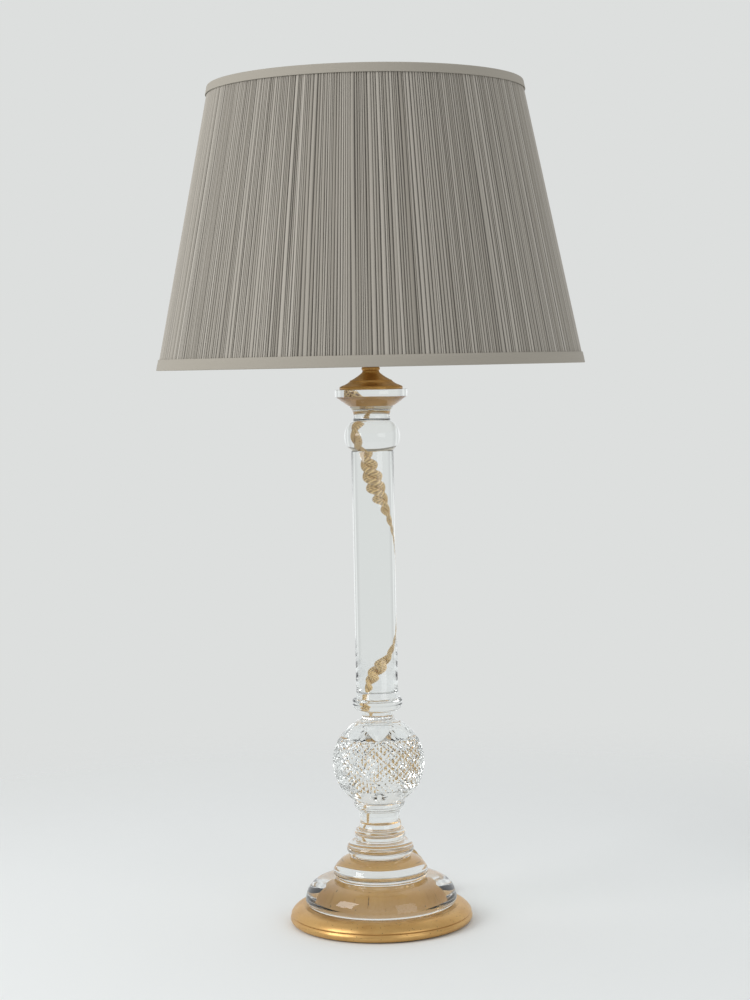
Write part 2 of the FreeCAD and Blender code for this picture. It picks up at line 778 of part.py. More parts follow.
def make_bulb(level):
    """The bayonet bulb standing on the plungers; `level` is the plungers' top."""
    base = level + cell("bulb_contact_gap")
    radius, tall, wall = cell("bulb_cap_radius"), cell("bulb_cap_height"), cell("bulb_cap_wall")
    pad = 1.0
    plate = 2.0
    shell = lathe("bulb_shell", [
        (radius - wall - 1.0, pad),
        (radius, pad + 1.0),
        (radius, tall),
        (radius - wall, tall),
        (radius - wall, pad + 1.2),
        (radius - wall - 1.0, pad + 0.4),
    ])
    place(shell, z=base)
    pins = []
    for side in (-1, 1):
        pin = cylinder(f"bulb_pin_{side + 1}", cell("bulb_pin_radius"), cell("bulb_pin_reach") - radius + wall)
        turn_to(pin, (0, 1, 0), 90 * side)
        pins.append(place(pin, (radius - wall) * side, 0.0, base + cell("bulb_pin_height")))
    keep(fuse("bulb_cap_pins", shell, *pins), "bulb_cap")

    plate_radius = radius - wall - 1.6
    disc = cylinder("bulb_plate", plate_radius, sized(plate))
    keep(place(disc, z=base + pad), "bulb_insulator")
    pads = []
    for side in (-1, 1):
        solder = cylinder(f"bulb_pad_{side + 1}", sized(2.2), sized(pad))
        pads.append(place(solder, 0.0, cell("contact_spacing") / 2 * side, base))
    keep(fuse("bulb_pads", *pads), "bulb_contacts")

    neck, glass, length = cell("bulb_neck_radius"), cell("bulb_radius"), cell("bulb_length")
    skin = cell("bulb_wall")
    low = tall - 4.0
    flat = 2.0
    crown = glass - flat
    middle, hollow = length - crown, crown - skin
    bulb = lathe("bulb_envelope", [
        (neck - skin, low),
        (neck, low),
        (neck, tall + 0.3),
        (neck + 2.6, tall + 3.0),
        (neck + 5.0, tall + 17.0, crown * 0.9 + flat, middle - crown * 0.43589),
        (glass, middle, flat, length),
        (0, length),
        (0, length - skin),
        (flat, length - skin),
        (hollow + flat, middle, hollow * 0.9 + flat, middle - hollow * 0.43589),
        (neck + 5.0 - skin, tall + 17.4, neck + 2.6 - skin, tall + 3.4),
        (neck - skin, tall + 0.9),
    ])
    place(bulb, z=base)
    keep(bulb, "bulb_glass")
    stem_top = middle - cell("filament_length") / 2 + 2.0
    stem = lathe("bulb_stem_body", [
        (0, low),
        (neck - skin - 0.4, low),
        (4.0, low + 12.0),
        (2.6, stem_top - 3.0),
        (0, stem_top),
    ])
    place(stem, z=base)
    keep(stem, "bulb_stem")
    count = SIZES["filament_count"]
    threads = []
    for number in range(int(count)):
        angle = math.radians(360.0 * number / count + 45.0)
        thread = cylinder(f"filament_{number}", cell("filament_radius"), cell("filament_length"))
        spread = cell("filament_ring_radius")
        threads.append(place(thread, spread * math.cos(angle), spread * math.sin(angle),
                             base + middle - cell("filament_length") / 2))
    keep(fuse("filament_set", *threads), "bulb_filaments")


# ------------------------------------------------------------------ carrier and shade
def collar(name, inner, outer, height, level, bevel=0.6):
    """A flat ring with bevelled outer edges."""
    body = lathe(name, [
        (inner, 0),
        (outer - bevel, 0),
        (outer, bevel),
        (outer, height - bevel),
        (outer - bevel, height),
        (inner, height),
    ])
    return place(body, z=level)


def make_carrier(level):
    """The two shade rings on the skirt and the wire carrier between them; returns its ring's height."""
    bore = cell("skirt_thread_radius") + cell("thread_clearance")
    ring_radius, ring_height = cell("shade_ring_radius"), cell("shade_ring_height")
    gap, thick = cell("face_gap"), cell("carrier_plate_thickness")
    low = level + cell("shade_ring_lift")
    keep(collar("ring_low_body", bore, ring_radius, ring_height, low), "shade_ring_lower")
    plate_level = low + ring_height + gap
    plate_radius = ring_radius + cell("ring_to_wire") + cell("carrier_wire") + 0.4
    plate = collar("plate_body", cell("skirt_thread_radius") + 0.3, plate_radius, thick, plate_level, bevel=0.3)
    keep(plate, "carrier_plate")
    keep(collar("ring_high_body", bore, ring_radius, ring_height, plate_level + thick + gap), "shade_ring_upper")

    wire, wide = SIZES["carrier_wire"], SIZES["carrier_half_width"]
    foot = SIZES["shade_ring_radius"] + SIZES["ring_to_wire"]
    base = (plate_level + thick).value
    top = plate_level.value + SIZES["carrier_height"]
    uprights = []
    for side in (-1, 1):
        path, _ = path_through((
            ((foot + wire / 2) * side, 0, base),
            ((foot + wire / 2) * side, 0, base + SIZES["carrier_knee_low"]),
            (wide * side, 0, base + SIZES["carrier_knee_high"]),
            (wide * side, 0, top),
        ))
        uprights.append(sweep(path, wire / 2))
    set_shape("carrier_uprights", Part.Compound(uprights))
    ring_level = plate_level + cell("carrier_height")
    keep(place(ring("carrier_ring_torus", cell("carrier_ring_radius"), cell("frame_wire")), z=ring_level),
         "carrier_top_ring")
    return ring_level


def shade_radius(height):
    """Outer radius of the shade's cover at a height over its bottom edge."""
    top, bottom = cell("shade_top_radius"), cell("shade_bottom_radius")
    return bottom - (bottom - top) * height / cell("shade_height")


def spoke(name, wire, inner, low, outer, high, angle):
    """A straight round wire in the plane of the shade's axis, from one radius and height to another."""
    run = Vector(outer.value - inner.value, 0, high.value - low.value)
    rod = doc.addObject("Part::Cylinder", name)
    tie(rod, "Radius", wire / 2)
    across, rise = f"({outer.words} - {inner.words})", f"({high.words} - {low.words})"
    tie(rod, "Height", Size(run.Length, f"sqrt({across}^2 + {rise}^2)"))
    lean = math.degrees(math.atan2(run.x, run.z))
    rod.Placement = Placement(Vector(), Rotation(Vector(0, 0, 1), angle) * Rotation(Vector(0, 1, 0), lean))
    turn = math.radians(angle)
    return place(rod, inner * math.cos(turn), inner * math.sin(turn), low)


def make_shade(level):
    """The shade: ring that rests on the carrier, wires, lining, cover and trims."""
    wire, step = cell("frame_wire"), cell("ring_seat_step")
    apart = wire + cell("ring_seat_gap")
    lift = Size(math.sqrt(apart.value ** 2 - step.value ** 2), f"sqrt({apart.words}^2 - {step.words}^2)")
    seat = level + lift
    gimbal_radius = cell("carrier_ring_radius") + step
    keep(place(ring("gimbal_torus", gimbal_radius, wire), z=seat), "gimbal_ring")

    height = cell("shade_height")
    inset = cell("trim_thickness") + wire / 2 + cell("layer_gap") * 2
    top_level = seat + cell("gimbal_drop")
    bottom = top_level + inset - height
    cover, gap = cell("cover_thickness"), cell("layer_gap")
    wire_in = cover + gap + wire * 0.51
    ends = []
    for name, rise in (("shade_bottom_wire", inset), ("shade_top_wire", height - inset)):
        radius = shade_radius(rise) - wire_in
        keep(place(ring(f"{name}_torus", radius, wire), z=bottom + rise), name)
        ends.append((radius, bottom + rise))
    (low_radius, low_level), (high_radius, high_level) = ends
    arms = [
        spoke(f"arm_{number}", cell("strut_wire"), gimbal_radius, seat, high_radius, high_level,
              360.0 * (number + 0.5) / SIZES["gimbal_arms"])
        for number in range(int(SIZES["gimbal_arms"]))
    ]
    keep(fuse("arm_set", *arms), "gimbal_arms")
    struts = [
        spoke(f"strut_{number}", cell("strut_wire"), low_radius, low_level, high_radius, high_level,
              360.0 * number / SIZES["strut_count"])
        for number in range(int(SIZES["strut_count"]))
    ]
    keep(fuse("strut_set", *struts), "shade_struts")

    def slit(name, sheet):
        """Slits in a cloth where the arms pass through it."""
        passages = [
            spoke(f"{name}_slit_{number}", cell("strut_wire") + 0.8, gimbal_radius, seat, high_radius, high_level,
                  360.0 * (number + 0.5) / SIZES["gimbal_arms"])
            for number in range(int(SIZES["gimbal_arms"]))
        ]
        return cut(f"{name}_slit", sheet, *passages)

    edge = cell("trim_thickness")
    lining_in = cover + wire + gap * 2 + 0.2
    lining_back = lining_in + cell("lining_thickness")
    for name, outer, inner in (("shade_cover", sized(0), cover), ("shade_lining", lining_in, lining_back)):
        sheet = lathe(f"{name}_body", [
            (shade_radius(edge) - outer, edge),
            (shade_radius(height - edge) - outer, height - edge),
            (shade_radius(height - edge) - inner, height - edge),
            (shade_radius(edge) - inner, edge),
        ])
        place(sheet, z=bottom)
        keep(slit(name, sheet) if name == "shade_lining" else sheet, name)
    inner_face = lining_back + gap * 2
    for name, ends_at, turn in (("top_trim", height, -1), ("bottom_trim", sized(0), 1)):
        width = cell(f"{name}_width")
        fold = ends_at + edge * turn
        hem = ends_at + width * turn
        band = lathe(f"{name}_body", [
            (shade_radius(hem) + gap, hem),
            (shade_radius(fold) + gap, fold),
            (shade_radius(fold) - inner_face, fold),
            (shade_radius(hem) - inner_face, hem),
            (shade_radius(hem) - inner_face - edge * 0.7, hem),
            (shade_radius(ends_at) - inner_face - edge * 0.7, ends_at),
            (shade_radius(ends_at) + edge, ends_at),
            (shade_radius(hem) + edge, hem),
        ])
        place(band, z=bottom)
        keep(slit(name, band) if name == "top_trim" else band, name)


# ------------------------------------------------------------------ flex, coil and plug
def coil_point(angle):
    """A point of the coil's middle line, `angle` degrees after its start, and its heading."""
    outer, pitch = SIZES["coil_outer_radius"], SIZES["coil_turn_pitch"]
    flex = SIZES["cord_diameter"]
    full = 360.0 * SIZES["coil_turns"]
    inward = min(angle, full - angle) / 360.0
    low = SIZES["tie_thickness"] + 0.1 + flex / 2
    climb = min(max((angle - full / 2) / 180.0 + 0.5, 0.0), 1.0)
    height = low + pitch * climb * climb * (3 - 2 * climb)
    radius = outer - pitch * inward
    turn = math.radians(COIL_START_ANGLE - angle)
    return Vector(COIL_CENTRE[0] + radius * math.cos(turn), COIL_CENTRE[1] + radius * math.sin(turn), height)


def coil_heading(angle):
    """The coil's direction at an angle after its start."""
    full = 360.0 * SIZES["coil_turns"]
    before, after = max(angle - 0.5, 0.0), min(angle + 0.5, full)
    return (coil_point(after) - coil_point(before)).normalize()


def least_gap(points, diameter, apart):
    """The least clear gap between stretches of a line more than `apart` points from each other."""
    least = min((first - second).Length for number, first in enumerate(points)
                for second in points[number + apart:])
    return least - diameter


def make_flex(level):
    """The hanging stretch, the coil and the tail of the flex; returns the tail's end and heading."""
    flex = SIZES["cord_diameter"]
    full = 360.0 * SIZES["coil_turns"]
    quarters = int(SIZES["coil_turns"] * 4)
    marks = [full * step / quarters for step in range(quarters + 1)]
    edges = []
    for start, end in zip(marks, marks[1:]):
        edges += biarc(coil_point(start), coil_heading(start), coil_point(end), coil_heading(end))
    coil_path = Part.Wire(edges)
    coil = sweep(coil_path, flex / 2)
    fine = [coil_point(full * step / 540) for step in range(541)]
    print(f"coil: length {coil_path.Length:.1f}, least gap to itself {least_gap(fine, flex, 60):.2f}")

    end = coil_point(full)
    heading = coil_heading(full)
    lengths = [coil_path.Length]
    start = coil_point(0.0)
    entry = [(0.0, across.value, up.value)
             for across, up in (along_entry(level, sized(reach)) for reach in (GRIP_START, GRIP_LEAVE))]
    drop_points = (*entry, *DROP_ROUTE, (start.x, start.y, start.z))
    lead_out = end + heading * 14.0
    tail_points = ((end.x, end.y, end.z), (lead_out.x, lead_out.y, lead_out.z)) + TAIL_ROUTE
    for name, points in (("cord_drop", drop_points), ("cord_tail", tail_points)):
        path, radii = path_through(points)
        runs = [(Vector(*b) - Vector(*a)).Length for a, b in zip(points, points[1:])]
        print(f"{name}: length {path.Length:.1f}, radii", [round(radius, 1) for radius in radii])
        print(f"{name}: runs", [round(run, 1) for run in runs])
        set_shape(name, sweep(path, flex / 2))
        lengths.append(path.Length)
    set_shape("cord_coil", coil)
    print(f"flex from grip to plug: {sum(lengths):.1f}")
    last, before = Vector(*tail_points[-1]), Vector(*tail_points[-2])
    return last, (last - before).normalize()


def make_tie():
    """The flat band round the coil's turns."""
    flex, gap, thick = cell("cord_diameter"), cell("tie_gap"), cell("tie_thickness")
    outer, pitch = cell("coil_outer_radius"), cell("coil_turn_pitch")
    inner_turn = outer - pitch * cell("coil_turns") / 2
    width = outer - inner_turn + flex + gap * 2
    tall = flex + pitch + gap * 2
    shell = block("tie_shell", width + thick * 2, cell("tie_width"), tall + thick * 2)
    hollow = block("tie_hollow", width, cell("tie_width") + 2.0, tall)
    place(hollow, -width / 2, -(cell("tie_width") + 2.0) / 2, thick)
    band = cut("tie_band", shell, hollow)
    middle = (outer + inner_turn) / 2
    angle = math.radians(TIE_ANGLE)
    turn_to(band, (0, 0, 1), TIE_ANGLE)
    place(band, COIL_CENTRE[0] + middle * math.cos(angle), COIL_CENTRE[1] + middle * math.sin(angle))
    keep(band, "coil_tie")


TIE_ANGLE = 200.0


def make_plug(start, heading):
    """The boot, the flat two-pin plug and its pins, in line with the end of the flex."""
    flex, boot = cell("cord_diameter") / 2, cell("boot_length")
    yaw = math.degrees(math.atan2(heading.y, heading.x)) + 90.0
    level = cell("plug_thickness") / 2

    def lay(thing, forward, aside=0.0):
        """Lay a piece along the plug's axis, its own +Z pointing to the pins."""
        thing.Placement = Placement(Vector(), Rotation(Vector(0, 0, 1), yaw) * Rotation(Vector(1, 0, 0), 90))
        flat = Vector(heading.x, heading.y, 0).normalize()
        side = Vector(-flat.y, flat.x, 0)
        return place(thing, start.x + forward * flat.x + aside * side.x,
                     start.y + forward * flat.y + aside * side.y, level)

    sleeve = lathe("boot_body", [
        (0, 0),
        (cell("boot_tip_radius"), 0),
        (cell("boot_root_radius"), boot),
        (0, boot),
    ])
    keep(lay(sleeve, sized(0)), "plug_boot")
    width, nose, length = cell("plug_width"), cell("plug_nose_width"), cell("plug_length")
    thick = cell("plug_thickness")
    body = doc.addObject("PartDesign::Body", "plug_shell")
    ends = []
    for end_name, across, lift in (("back", nose, sized(0)), ("front", width, length)):
        sketch = new_sketch(body, "XY_Plane", f"plug_{end_name}_outline")
        tie(sketch, "AttachmentOffset.Base.z", lift)
        bevel = 3.4
        draw(sketch, [
            (-across / 2, 0),
            (-across / 2 + bevel, -thick / 2),
            (across / 2 - bevel, -thick / 2),
            (across / 2, 0),
            (across / 2 - bevel, thick / 2),
            (-across / 2 + bevel, thick / 2),
        ])
        ends.append(sketch)
    loft = body.newObject("PartDesign::AdditiveLoft", "plug_loft")
    loft.Profile = ends[0]
    loft.Sections = [ends[1]]
    loft.Ruled = True
    keep(lay(body, boot), "plug_body")
    pins = []
    for side in (-1, 1):
        pin = lathe(f"pin_{side + 1}", [
            (0, 0),
            (cell("pin_radius"), 0),
            (cell("pin_radius"), cell("pin_length") - 1.2),
            (cell("pin_radius") - 1.2, cell("pin_length")),
            (0, cell("pin_length")),
        ])
        pins.append(lay(pin, boot + length, cell("pin_spacing") / 2 * side))
    keep(fuse("pin_pair", *pins), "plug_pins")


# ------------------------------------------------------------------ the lamp
def check_and_write():
    """Stop at the first thing that failed, then write one file for each piece."""
    doc.recompute()
    for thing in doc.Objects:
        faults = [word for word in thing.State if word in ("Invalid", "Error")]
        if faults:
            raise RuntimeError(f"{thing.Name} is {faults}")
    os.makedirs("parts", exist_ok=True)
    for piece in PARTS:
        shape = piece.Shape
        if shape.isNull() or not shape.isValid() or not shape.Solids:
            raise RuntimeError(f"{piece.Label} has no valid shape")
        shape.exportStep(f"parts/{piece.Label}.step")
        box = shape.BoundBox
        print(f"{piece.Label}: {len(shape.Solids)} solid, {shape.Volume / 1000:.2f} cm3, "
              f"z {box.ZMin:.1f} to {box.ZMax:.1f}")


fill_sheet()
plinth_top = make_plinth()
glass_top = make_glass(plinth_top)
nut_top = make_cap(glass_top)
skirt_foot = make_holder_base(nut_top)
make_switch(nut_top)
make_skirt(skirt_foot)
plunger_top = make_contacts(skirt_foot)
make_bulb(plunger_top)
carrier_ring = make_carrier(skirt_foot)
make_shade(carrier_ring)
flex_end, flex_heading = make_flex(nut_top)
make_tie()
make_plug(flex_end, flex_heading)
check_and_write()
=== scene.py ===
"""A candlestick table lamp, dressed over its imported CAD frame.

Sizes in the classes are millimetres; meshes are in metres. +Z is up from the table and -Y is the front.
"""

from __future__ import annotations

import logging
import math
import random
from dataclasses import dataclass
from enum import Enum

import bmesh
import bpy
from mathutils import Matrix, Vector, noise

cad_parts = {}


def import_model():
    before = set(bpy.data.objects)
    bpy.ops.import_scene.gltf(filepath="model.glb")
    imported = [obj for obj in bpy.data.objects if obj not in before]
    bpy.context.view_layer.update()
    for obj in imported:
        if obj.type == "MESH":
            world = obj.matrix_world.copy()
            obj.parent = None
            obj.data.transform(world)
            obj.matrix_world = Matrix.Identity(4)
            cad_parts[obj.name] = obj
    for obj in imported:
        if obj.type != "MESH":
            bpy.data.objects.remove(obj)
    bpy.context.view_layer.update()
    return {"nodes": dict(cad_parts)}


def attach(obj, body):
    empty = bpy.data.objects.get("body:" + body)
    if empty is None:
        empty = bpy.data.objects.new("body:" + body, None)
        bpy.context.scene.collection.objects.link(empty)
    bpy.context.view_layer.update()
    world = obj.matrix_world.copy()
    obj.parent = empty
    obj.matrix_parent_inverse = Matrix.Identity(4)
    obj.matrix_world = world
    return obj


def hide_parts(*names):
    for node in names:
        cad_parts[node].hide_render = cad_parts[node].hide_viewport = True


LOG = logging.getLogger("candlestick_lamp")
MM = 0.001
WELD = 1e-6          # metres: vertices closer than this become one
SEAM_WELD = 2e-7     # metres: the same, for the seam of a wrapped grid
MIX_A, MIX_B, MIX_OUT = 6, 7, 2     # the colour sockets of a Mix node
WAVE_RATE = 20.0     # radians that a wave texture of scale 1 runs through in a metre
Point = tuple[float, float]
Spot = tuple[float, float, float]


# ------------------------------------------------------------------ finishes
def srgb(code: str) -> tuple[float, float, float, float]:
    """Turn a hex colour into the linear values a shader takes.

    Args:
        code: Six hex digits after a hash, in sRGB.

    Returns:
        Red, green, blue and alpha.
    """
    parts = [int(code[n:n + 2], 16) / 255 for n in (1, 3, 5)]
    linear = [part / 12.92 if part <= 0.04045 else ((part + 0.055) / 1.055) ** 2.4 for part in parts]
    return linear[0], linear[1], linear[2], 1.0


def add_node(tree: bpy.types.NodeTree, kind: str, inputs: dict | None = None, **settings) -> bpy.types.Node:
    """Add one node with its settings and links.

    Args:
        tree: The material's or world's node tree.
        kind: The node's Blender type.
        inputs: Input name or number, and the socket or value that goes into it.
        **settings: Properties of the node.

    Returns:
        The node.
    """
    node = tree.nodes.new(kind)
    for key, value in settings.items():
        setattr(node, key, value)
    for key, value in (inputs or {}).items():
        if isinstance(value, bpy.types.NodeSocket):
            tree.links.new(value, node.inputs[key])
        else:
            node.inputs[key].default_value = value
    return node


@dataclass(frozen=True)
class Finish:
    """A finish: what the stuff is, how its surface was made, and the grain that shows.

    Args:
        name: Common name of the material and its surface.
        slot: The material slot's name; not used here.
        colour: Main colour.
        second: Colour that the grain wanders to.
        metallic: Metal share.
        roughness: Mean roughness.
        spread: How far the roughness wanders either way.
        grain: Size of the grain in millimetres.
        relief: Height of the bump in millimetres.
    """

    name: str
    slot: str
    colour: str
    second: str
    metallic: float = 0.0
    roughness: float = 0.4
    spread: float = 0.06
    grain: float = 3.0
    relief: float = 0.02

    def build(self) -> bpy.types.Material:
        """Make the Blender material.

        Returns:
            The material, ready to assign.
        """
        material = bpy.data.materials.new(self.name)
        material.use_nodes = True
        tree = material.node_tree
        tree.nodes.clear()
        shader = add_node(tree, "ShaderNodeBsdfPrincipled", {
            "Base Color": srgb(self.colour),
            "Metallic": self.metallic,
            "Roughness": self.roughness,
        })
        out = add_node(tree, "ShaderNodeOutputMaterial", {"Surface": shader.outputs["BSDF"]})
        self.dress(tree, shader, out)
        material.diffuse_color = srgb(self.colour)
        return material

    def dress(self, tree: bpy.types.NodeTree, shader: bpy.types.Node, out: bpy.types.Node) -> None:
        """Give the shader its grain: colour, roughness and bump from one noise in real size.

        Args:
            tree: The material's node tree.
            shader: Its Principled BSDF.
            out: Its output.
        """
        place = add_node(tree, "ShaderNodeTexCoord").outputs["Object"]
        grain = add_node(tree, "ShaderNodeTexNoise", {
            "Vector": place, "Scale": 1 / (self.grain * MM), "Detail": 4.0, "Roughness": 0.6,
        })
        tint = add_node(tree, "ShaderNodeMix", {
            "Factor": grain.outputs["Fac"], MIX_A: srgb(self.colour), MIX_B: srgb(self.second),
        }, data_type="RGBA")
        self.polish(tree, shader, grain.outputs["Fac"])
        self.lay(tree, shader, tint.outputs[MIX_OUT], grain.outputs["Fac"])

    def polish(self, tree: bpy.types.NodeTree, shader: bpy.types.Node, grain: bpy.types.NodeSocket) -> None:
        """Let the roughness wander with a grain.

        Args:
            tree: The material's node tree.
            shader: Its Principled BSDF.
            grain: The grain, from 0 to 1.
        """
        rough = add_node(tree, "ShaderNodeMapRange", {
            "Value": grain, "From Min": 0.3, "From Max": 0.7,
            "To Min": max(self.roughness - self.spread, 0.02), "To Max": self.roughness + self.spread,
        })
        tree.links.new(rough.outputs["Result"], shader.inputs["Roughness"])

    def lay(self, tree: bpy.types.NodeTree, shader: bpy.types.Node, colour: bpy.types.NodeSocket,
            height: bpy.types.NodeSocket) -> None:
        """Lay a colour and the finish's relief on the shader.

        Args:
            tree: The material's node tree.
            shader: Its Principled BSDF.
            colour: Where the colour comes from.
            height: Where the relief comes from, from 0 to 1.
        """
        bump = add_node(tree, "ShaderNodeBump", {
            "Height": height, "Distance": self.relief * MM, "Strength": 1.0,
        })
        tree.links.new(colour, shader.inputs["Base Color"])
        tree.links.new(bump.outputs["Normal"], shader.inputs["Normal"])


@dataclass(frozen=True)
class LeadCrystal(Finish):
    """Clear pressed and polished glass: no colour but a breath of grey, mirror smooth.

    Args:
        shadow: How dark its shadow is, from 0 to 1.
        index: Index of refraction.
        cast: Tone of the light that it lets through into its shadow.
    """

    shadow: float = 0.12
    index: float = 1.52
    cast: str = "#F2F5F4"

    def dress(self, tree: bpy.types.NodeTree, shader: bpy.types.Node, out: bpy.types.Node) -> None:
        """Let light through, and thin the shadow, as a lit room does behind real glass.

        Args:
            tree: The material's node tree.
            shader: Its Principled BSDF.
            out: Its output.
        """
        shader.inputs["Transmission Weight"].default_value = 1.0
        shader.inputs["IOR"].default_value = self.index
        clear = add_node(tree, "ShaderNodeBsdfTransparent", {"Color": srgb(self.cast)})
        ray = add_node(tree, "ShaderNodeLightPath")
        thin = add_node(tree, "ShaderNodeMath", {
            0: ray.outputs["Is Shadow Ray"], 1: 1.0 - self.shadow,
        }, operation="MULTIPLY")
        mix = add_node(tree, "ShaderNodeMixShader", {
            0: thin.outputs[0], 1: shader.outputs["BSDF"], 2: clear.outputs["BSDF"],
        })
        tree.links.new(mix.outputs["Shader"], out.inputs["Surface"])


@dataclass(frozen=True)
class GoldLeaf(Finish):
    """Gold over a dark ground: warm satin metal, the ground bare where it wore, dark specks.

    Args:
        worn: Colour of the ground that shows where the leaf is rubbed.
        speck: Colour of the flecks.
        wear: How much of the ground shows through at most.
        patch: Size of the leaf's soft patches in millimetres.
        fleck: Mean distance of the flecks in millimetres.
    """

    worn: str = "#8A5233"
    speck: str = "#3A2A18"
    wear: float = 0.5
    patch: float = 22.0
    fleck: float = 4.5

    def dress(self, tree: bpy.types.NodeTree, shader: bpy.types.Node, out: bpy.types.Node) -> None:
        """Lay the leaf in soft patches, rub it through to the bole, and fleck it.

        Args:
            tree: The material's node tree.
            shader: Its Principled BSDF.
            out: Its output.
        """
        place = add_node(tree, "ShaderNodeTexCoord").outputs["Object"]
        patch = add_node(tree, "ShaderNodeTexNoise", {
            "Vector": place, "Scale": 1 / (self.patch * MM), "Detail": 5.0, "Roughness": 0.62,
        })
        fine = add_node(tree, "ShaderNodeTexNoise", {
            "Vector": place, "Scale": 1 / (self.grain * MM), "Detail": 6.0, "Roughness": 0.7,
        })
        flecks = add_node(tree, "ShaderNodeTexVoronoi", {"Vector": place, "Scale": 1 / (self.fleck * MM)})
        leaf = add_node(tree, "ShaderNodeMix", {
            "Factor": patch.outputs["Fac"], MIX_A: srgb(self.colour), MIX_B: srgb(self.second),
        }, data_type="RGBA")
        rub = add_node(tree, "ShaderNodeMapRange", {
            "Value": fine.outputs["Fac"], "From Min": 0.60, "From Max": 0.74,
            "To Min": 0.0, "To Max": self.wear,
        })
        bole = add_node(tree, "ShaderNodeMix", {
            "Factor": rub.outputs["Result"], MIX_A: leaf.outputs[MIX_OUT], MIX_B: srgb(self.worn),
        }, data_type="RGBA")
        dot = add_node(tree, "ShaderNodeMapRange", {
            "Value": flecks.outputs["Distance"], "From Min": 0.07, "From Max": 0.15,
            "To Min": 0.75, "To Max": 0.0,
        })
        tint = add_node(tree, "ShaderNodeMix", {
            "Factor": dot.outputs["Result"], MIX_A: bole.outputs[MIX_OUT], MIX_B: srgb(self.speck),
        }, data_type="RGBA")
        self.polish(tree, shader, fine.outputs["Fac"])
        self.lay(tree, shader, tint.outputs[MIX_OUT], fine.outputs["Fac"])


@dataclass(frozen=True)
class GatheredSilk(Finish):
    """Matt spun silk, gathered by hand: each fold has its own depth of tone, with shade painted dark between
    folds.

    Args:
        valley: Colour of the shade painted in the depth between two folds.
        sheen: Strength of the cloth's sheen.
    """

    valley: str = "#38332C"
    sheen: float = 0.15

    def dress(self, tree: bpy.types.NodeTree, shader: bpy.types.Node, out: bpy.types.Node) -> None:
        """Tone each fold from the mesh's own fold attribute, paint shade into its valley from it, and lay a
        fine cloth weave over it.

        Args:
            tree: The material's node tree.
            shader: Its Principled BSDF.
            out: Its output.
        """
        fold = add_node(tree, "ShaderNodeAttribute", attribute_name="fold")
        split = add_node(tree, "ShaderNodeSeparateColor", {"Color": fold.outputs["Color"]})
        place = add_node(tree, "ShaderNodeTexCoord").outputs["Object"]
        weave = add_node(tree, "ShaderNodeTexNoise", {
            "Vector": place, "Scale": 1 / (self.grain * MM), "Detail": 3.0, "Roughness": 0.6,
        })
        cloth = add_node(tree, "ShaderNodeMix", {
            "Factor": split.outputs["Green"], MIX_A: srgb(self.colour), MIX_B: srgb(self.second),
        }, data_type="RGBA")
        # painted shade: the fold attribute's red share darkens the cloth towards the valley colour
        depth = add_node(tree, "ShaderNodeMapRange", {
            "Value": split.outputs["Red"], "From Min": 0.22, "From Max": 0.95, "To Min": 0.0, "To Max": 1.0,
        })
        tint = add_node(tree, "ShaderNodeMix", {
            "Factor": depth.outputs["Result"], MIX_A: cloth.outputs[MIX_OUT], MIX_B: srgb(self.valley),
        }, data_type="RGBA")
        shader.inputs["Sheen Weight"].default_value = self.sheen
        shader.inputs["Sheen Roughness"].default_value = 0.5
        self.lay(tree, shader, tint.outputs[MIX_OUT], weave.outputs["Fac"])


@dataclass(frozen=True)
class Ribbed(Finish):
    """Woven ribbon or cloth with ribs that run round the piece.

    Args:
        rib: Width of a rib in millimetres, drawn coarser than real ones so that it shows.
    """

    rib: float = 1.1

    def dress(self, tree: bpy.types.NodeTree, shader: bpy.types.Node, out: bpy.types.Node) -> None:
        """Rib the cloth along its height, with a weave's grain over it.

        Args:
            tree: The material's node tree.
            shader: Its Principled BSDF.
            out: Its output.
        """
        place = add_node(tree, "ShaderNodeTexCoord").outputs["Object"]
        ribs = add_node(tree, "ShaderNodeTexWave", {
            "Vector": place, "Scale": 1 / (self.rib * MM) / WAVE_RATE * math.pi, "Distortion": 0.0,
        }, wave_type="BANDS", bands_direction="Z", wave_profile="SIN")
        weave = add_node(tree, "ShaderNodeTexNoise", {
            "Vector": place, "Scale": 1 / (self.grain * MM), "Detail": 3.0, "Roughness": 0.6,
        })
        height = add_node(tree, "ShaderNodeMath", {
            0: ribs.outputs["Fac"], 1: weave.outputs["Fac"],
        }, operation="ADD")
        tint = add_node(tree, "ShaderNodeMix", {
            "Factor": weave.outputs["Fac"], MIX_A: srgb(self.colour), MIX_B: srgb(self.second),
        }, data_type="RGBA")
        self.lay(tree, shader, tint.outputs[MIX_OUT], height.outputs[0])


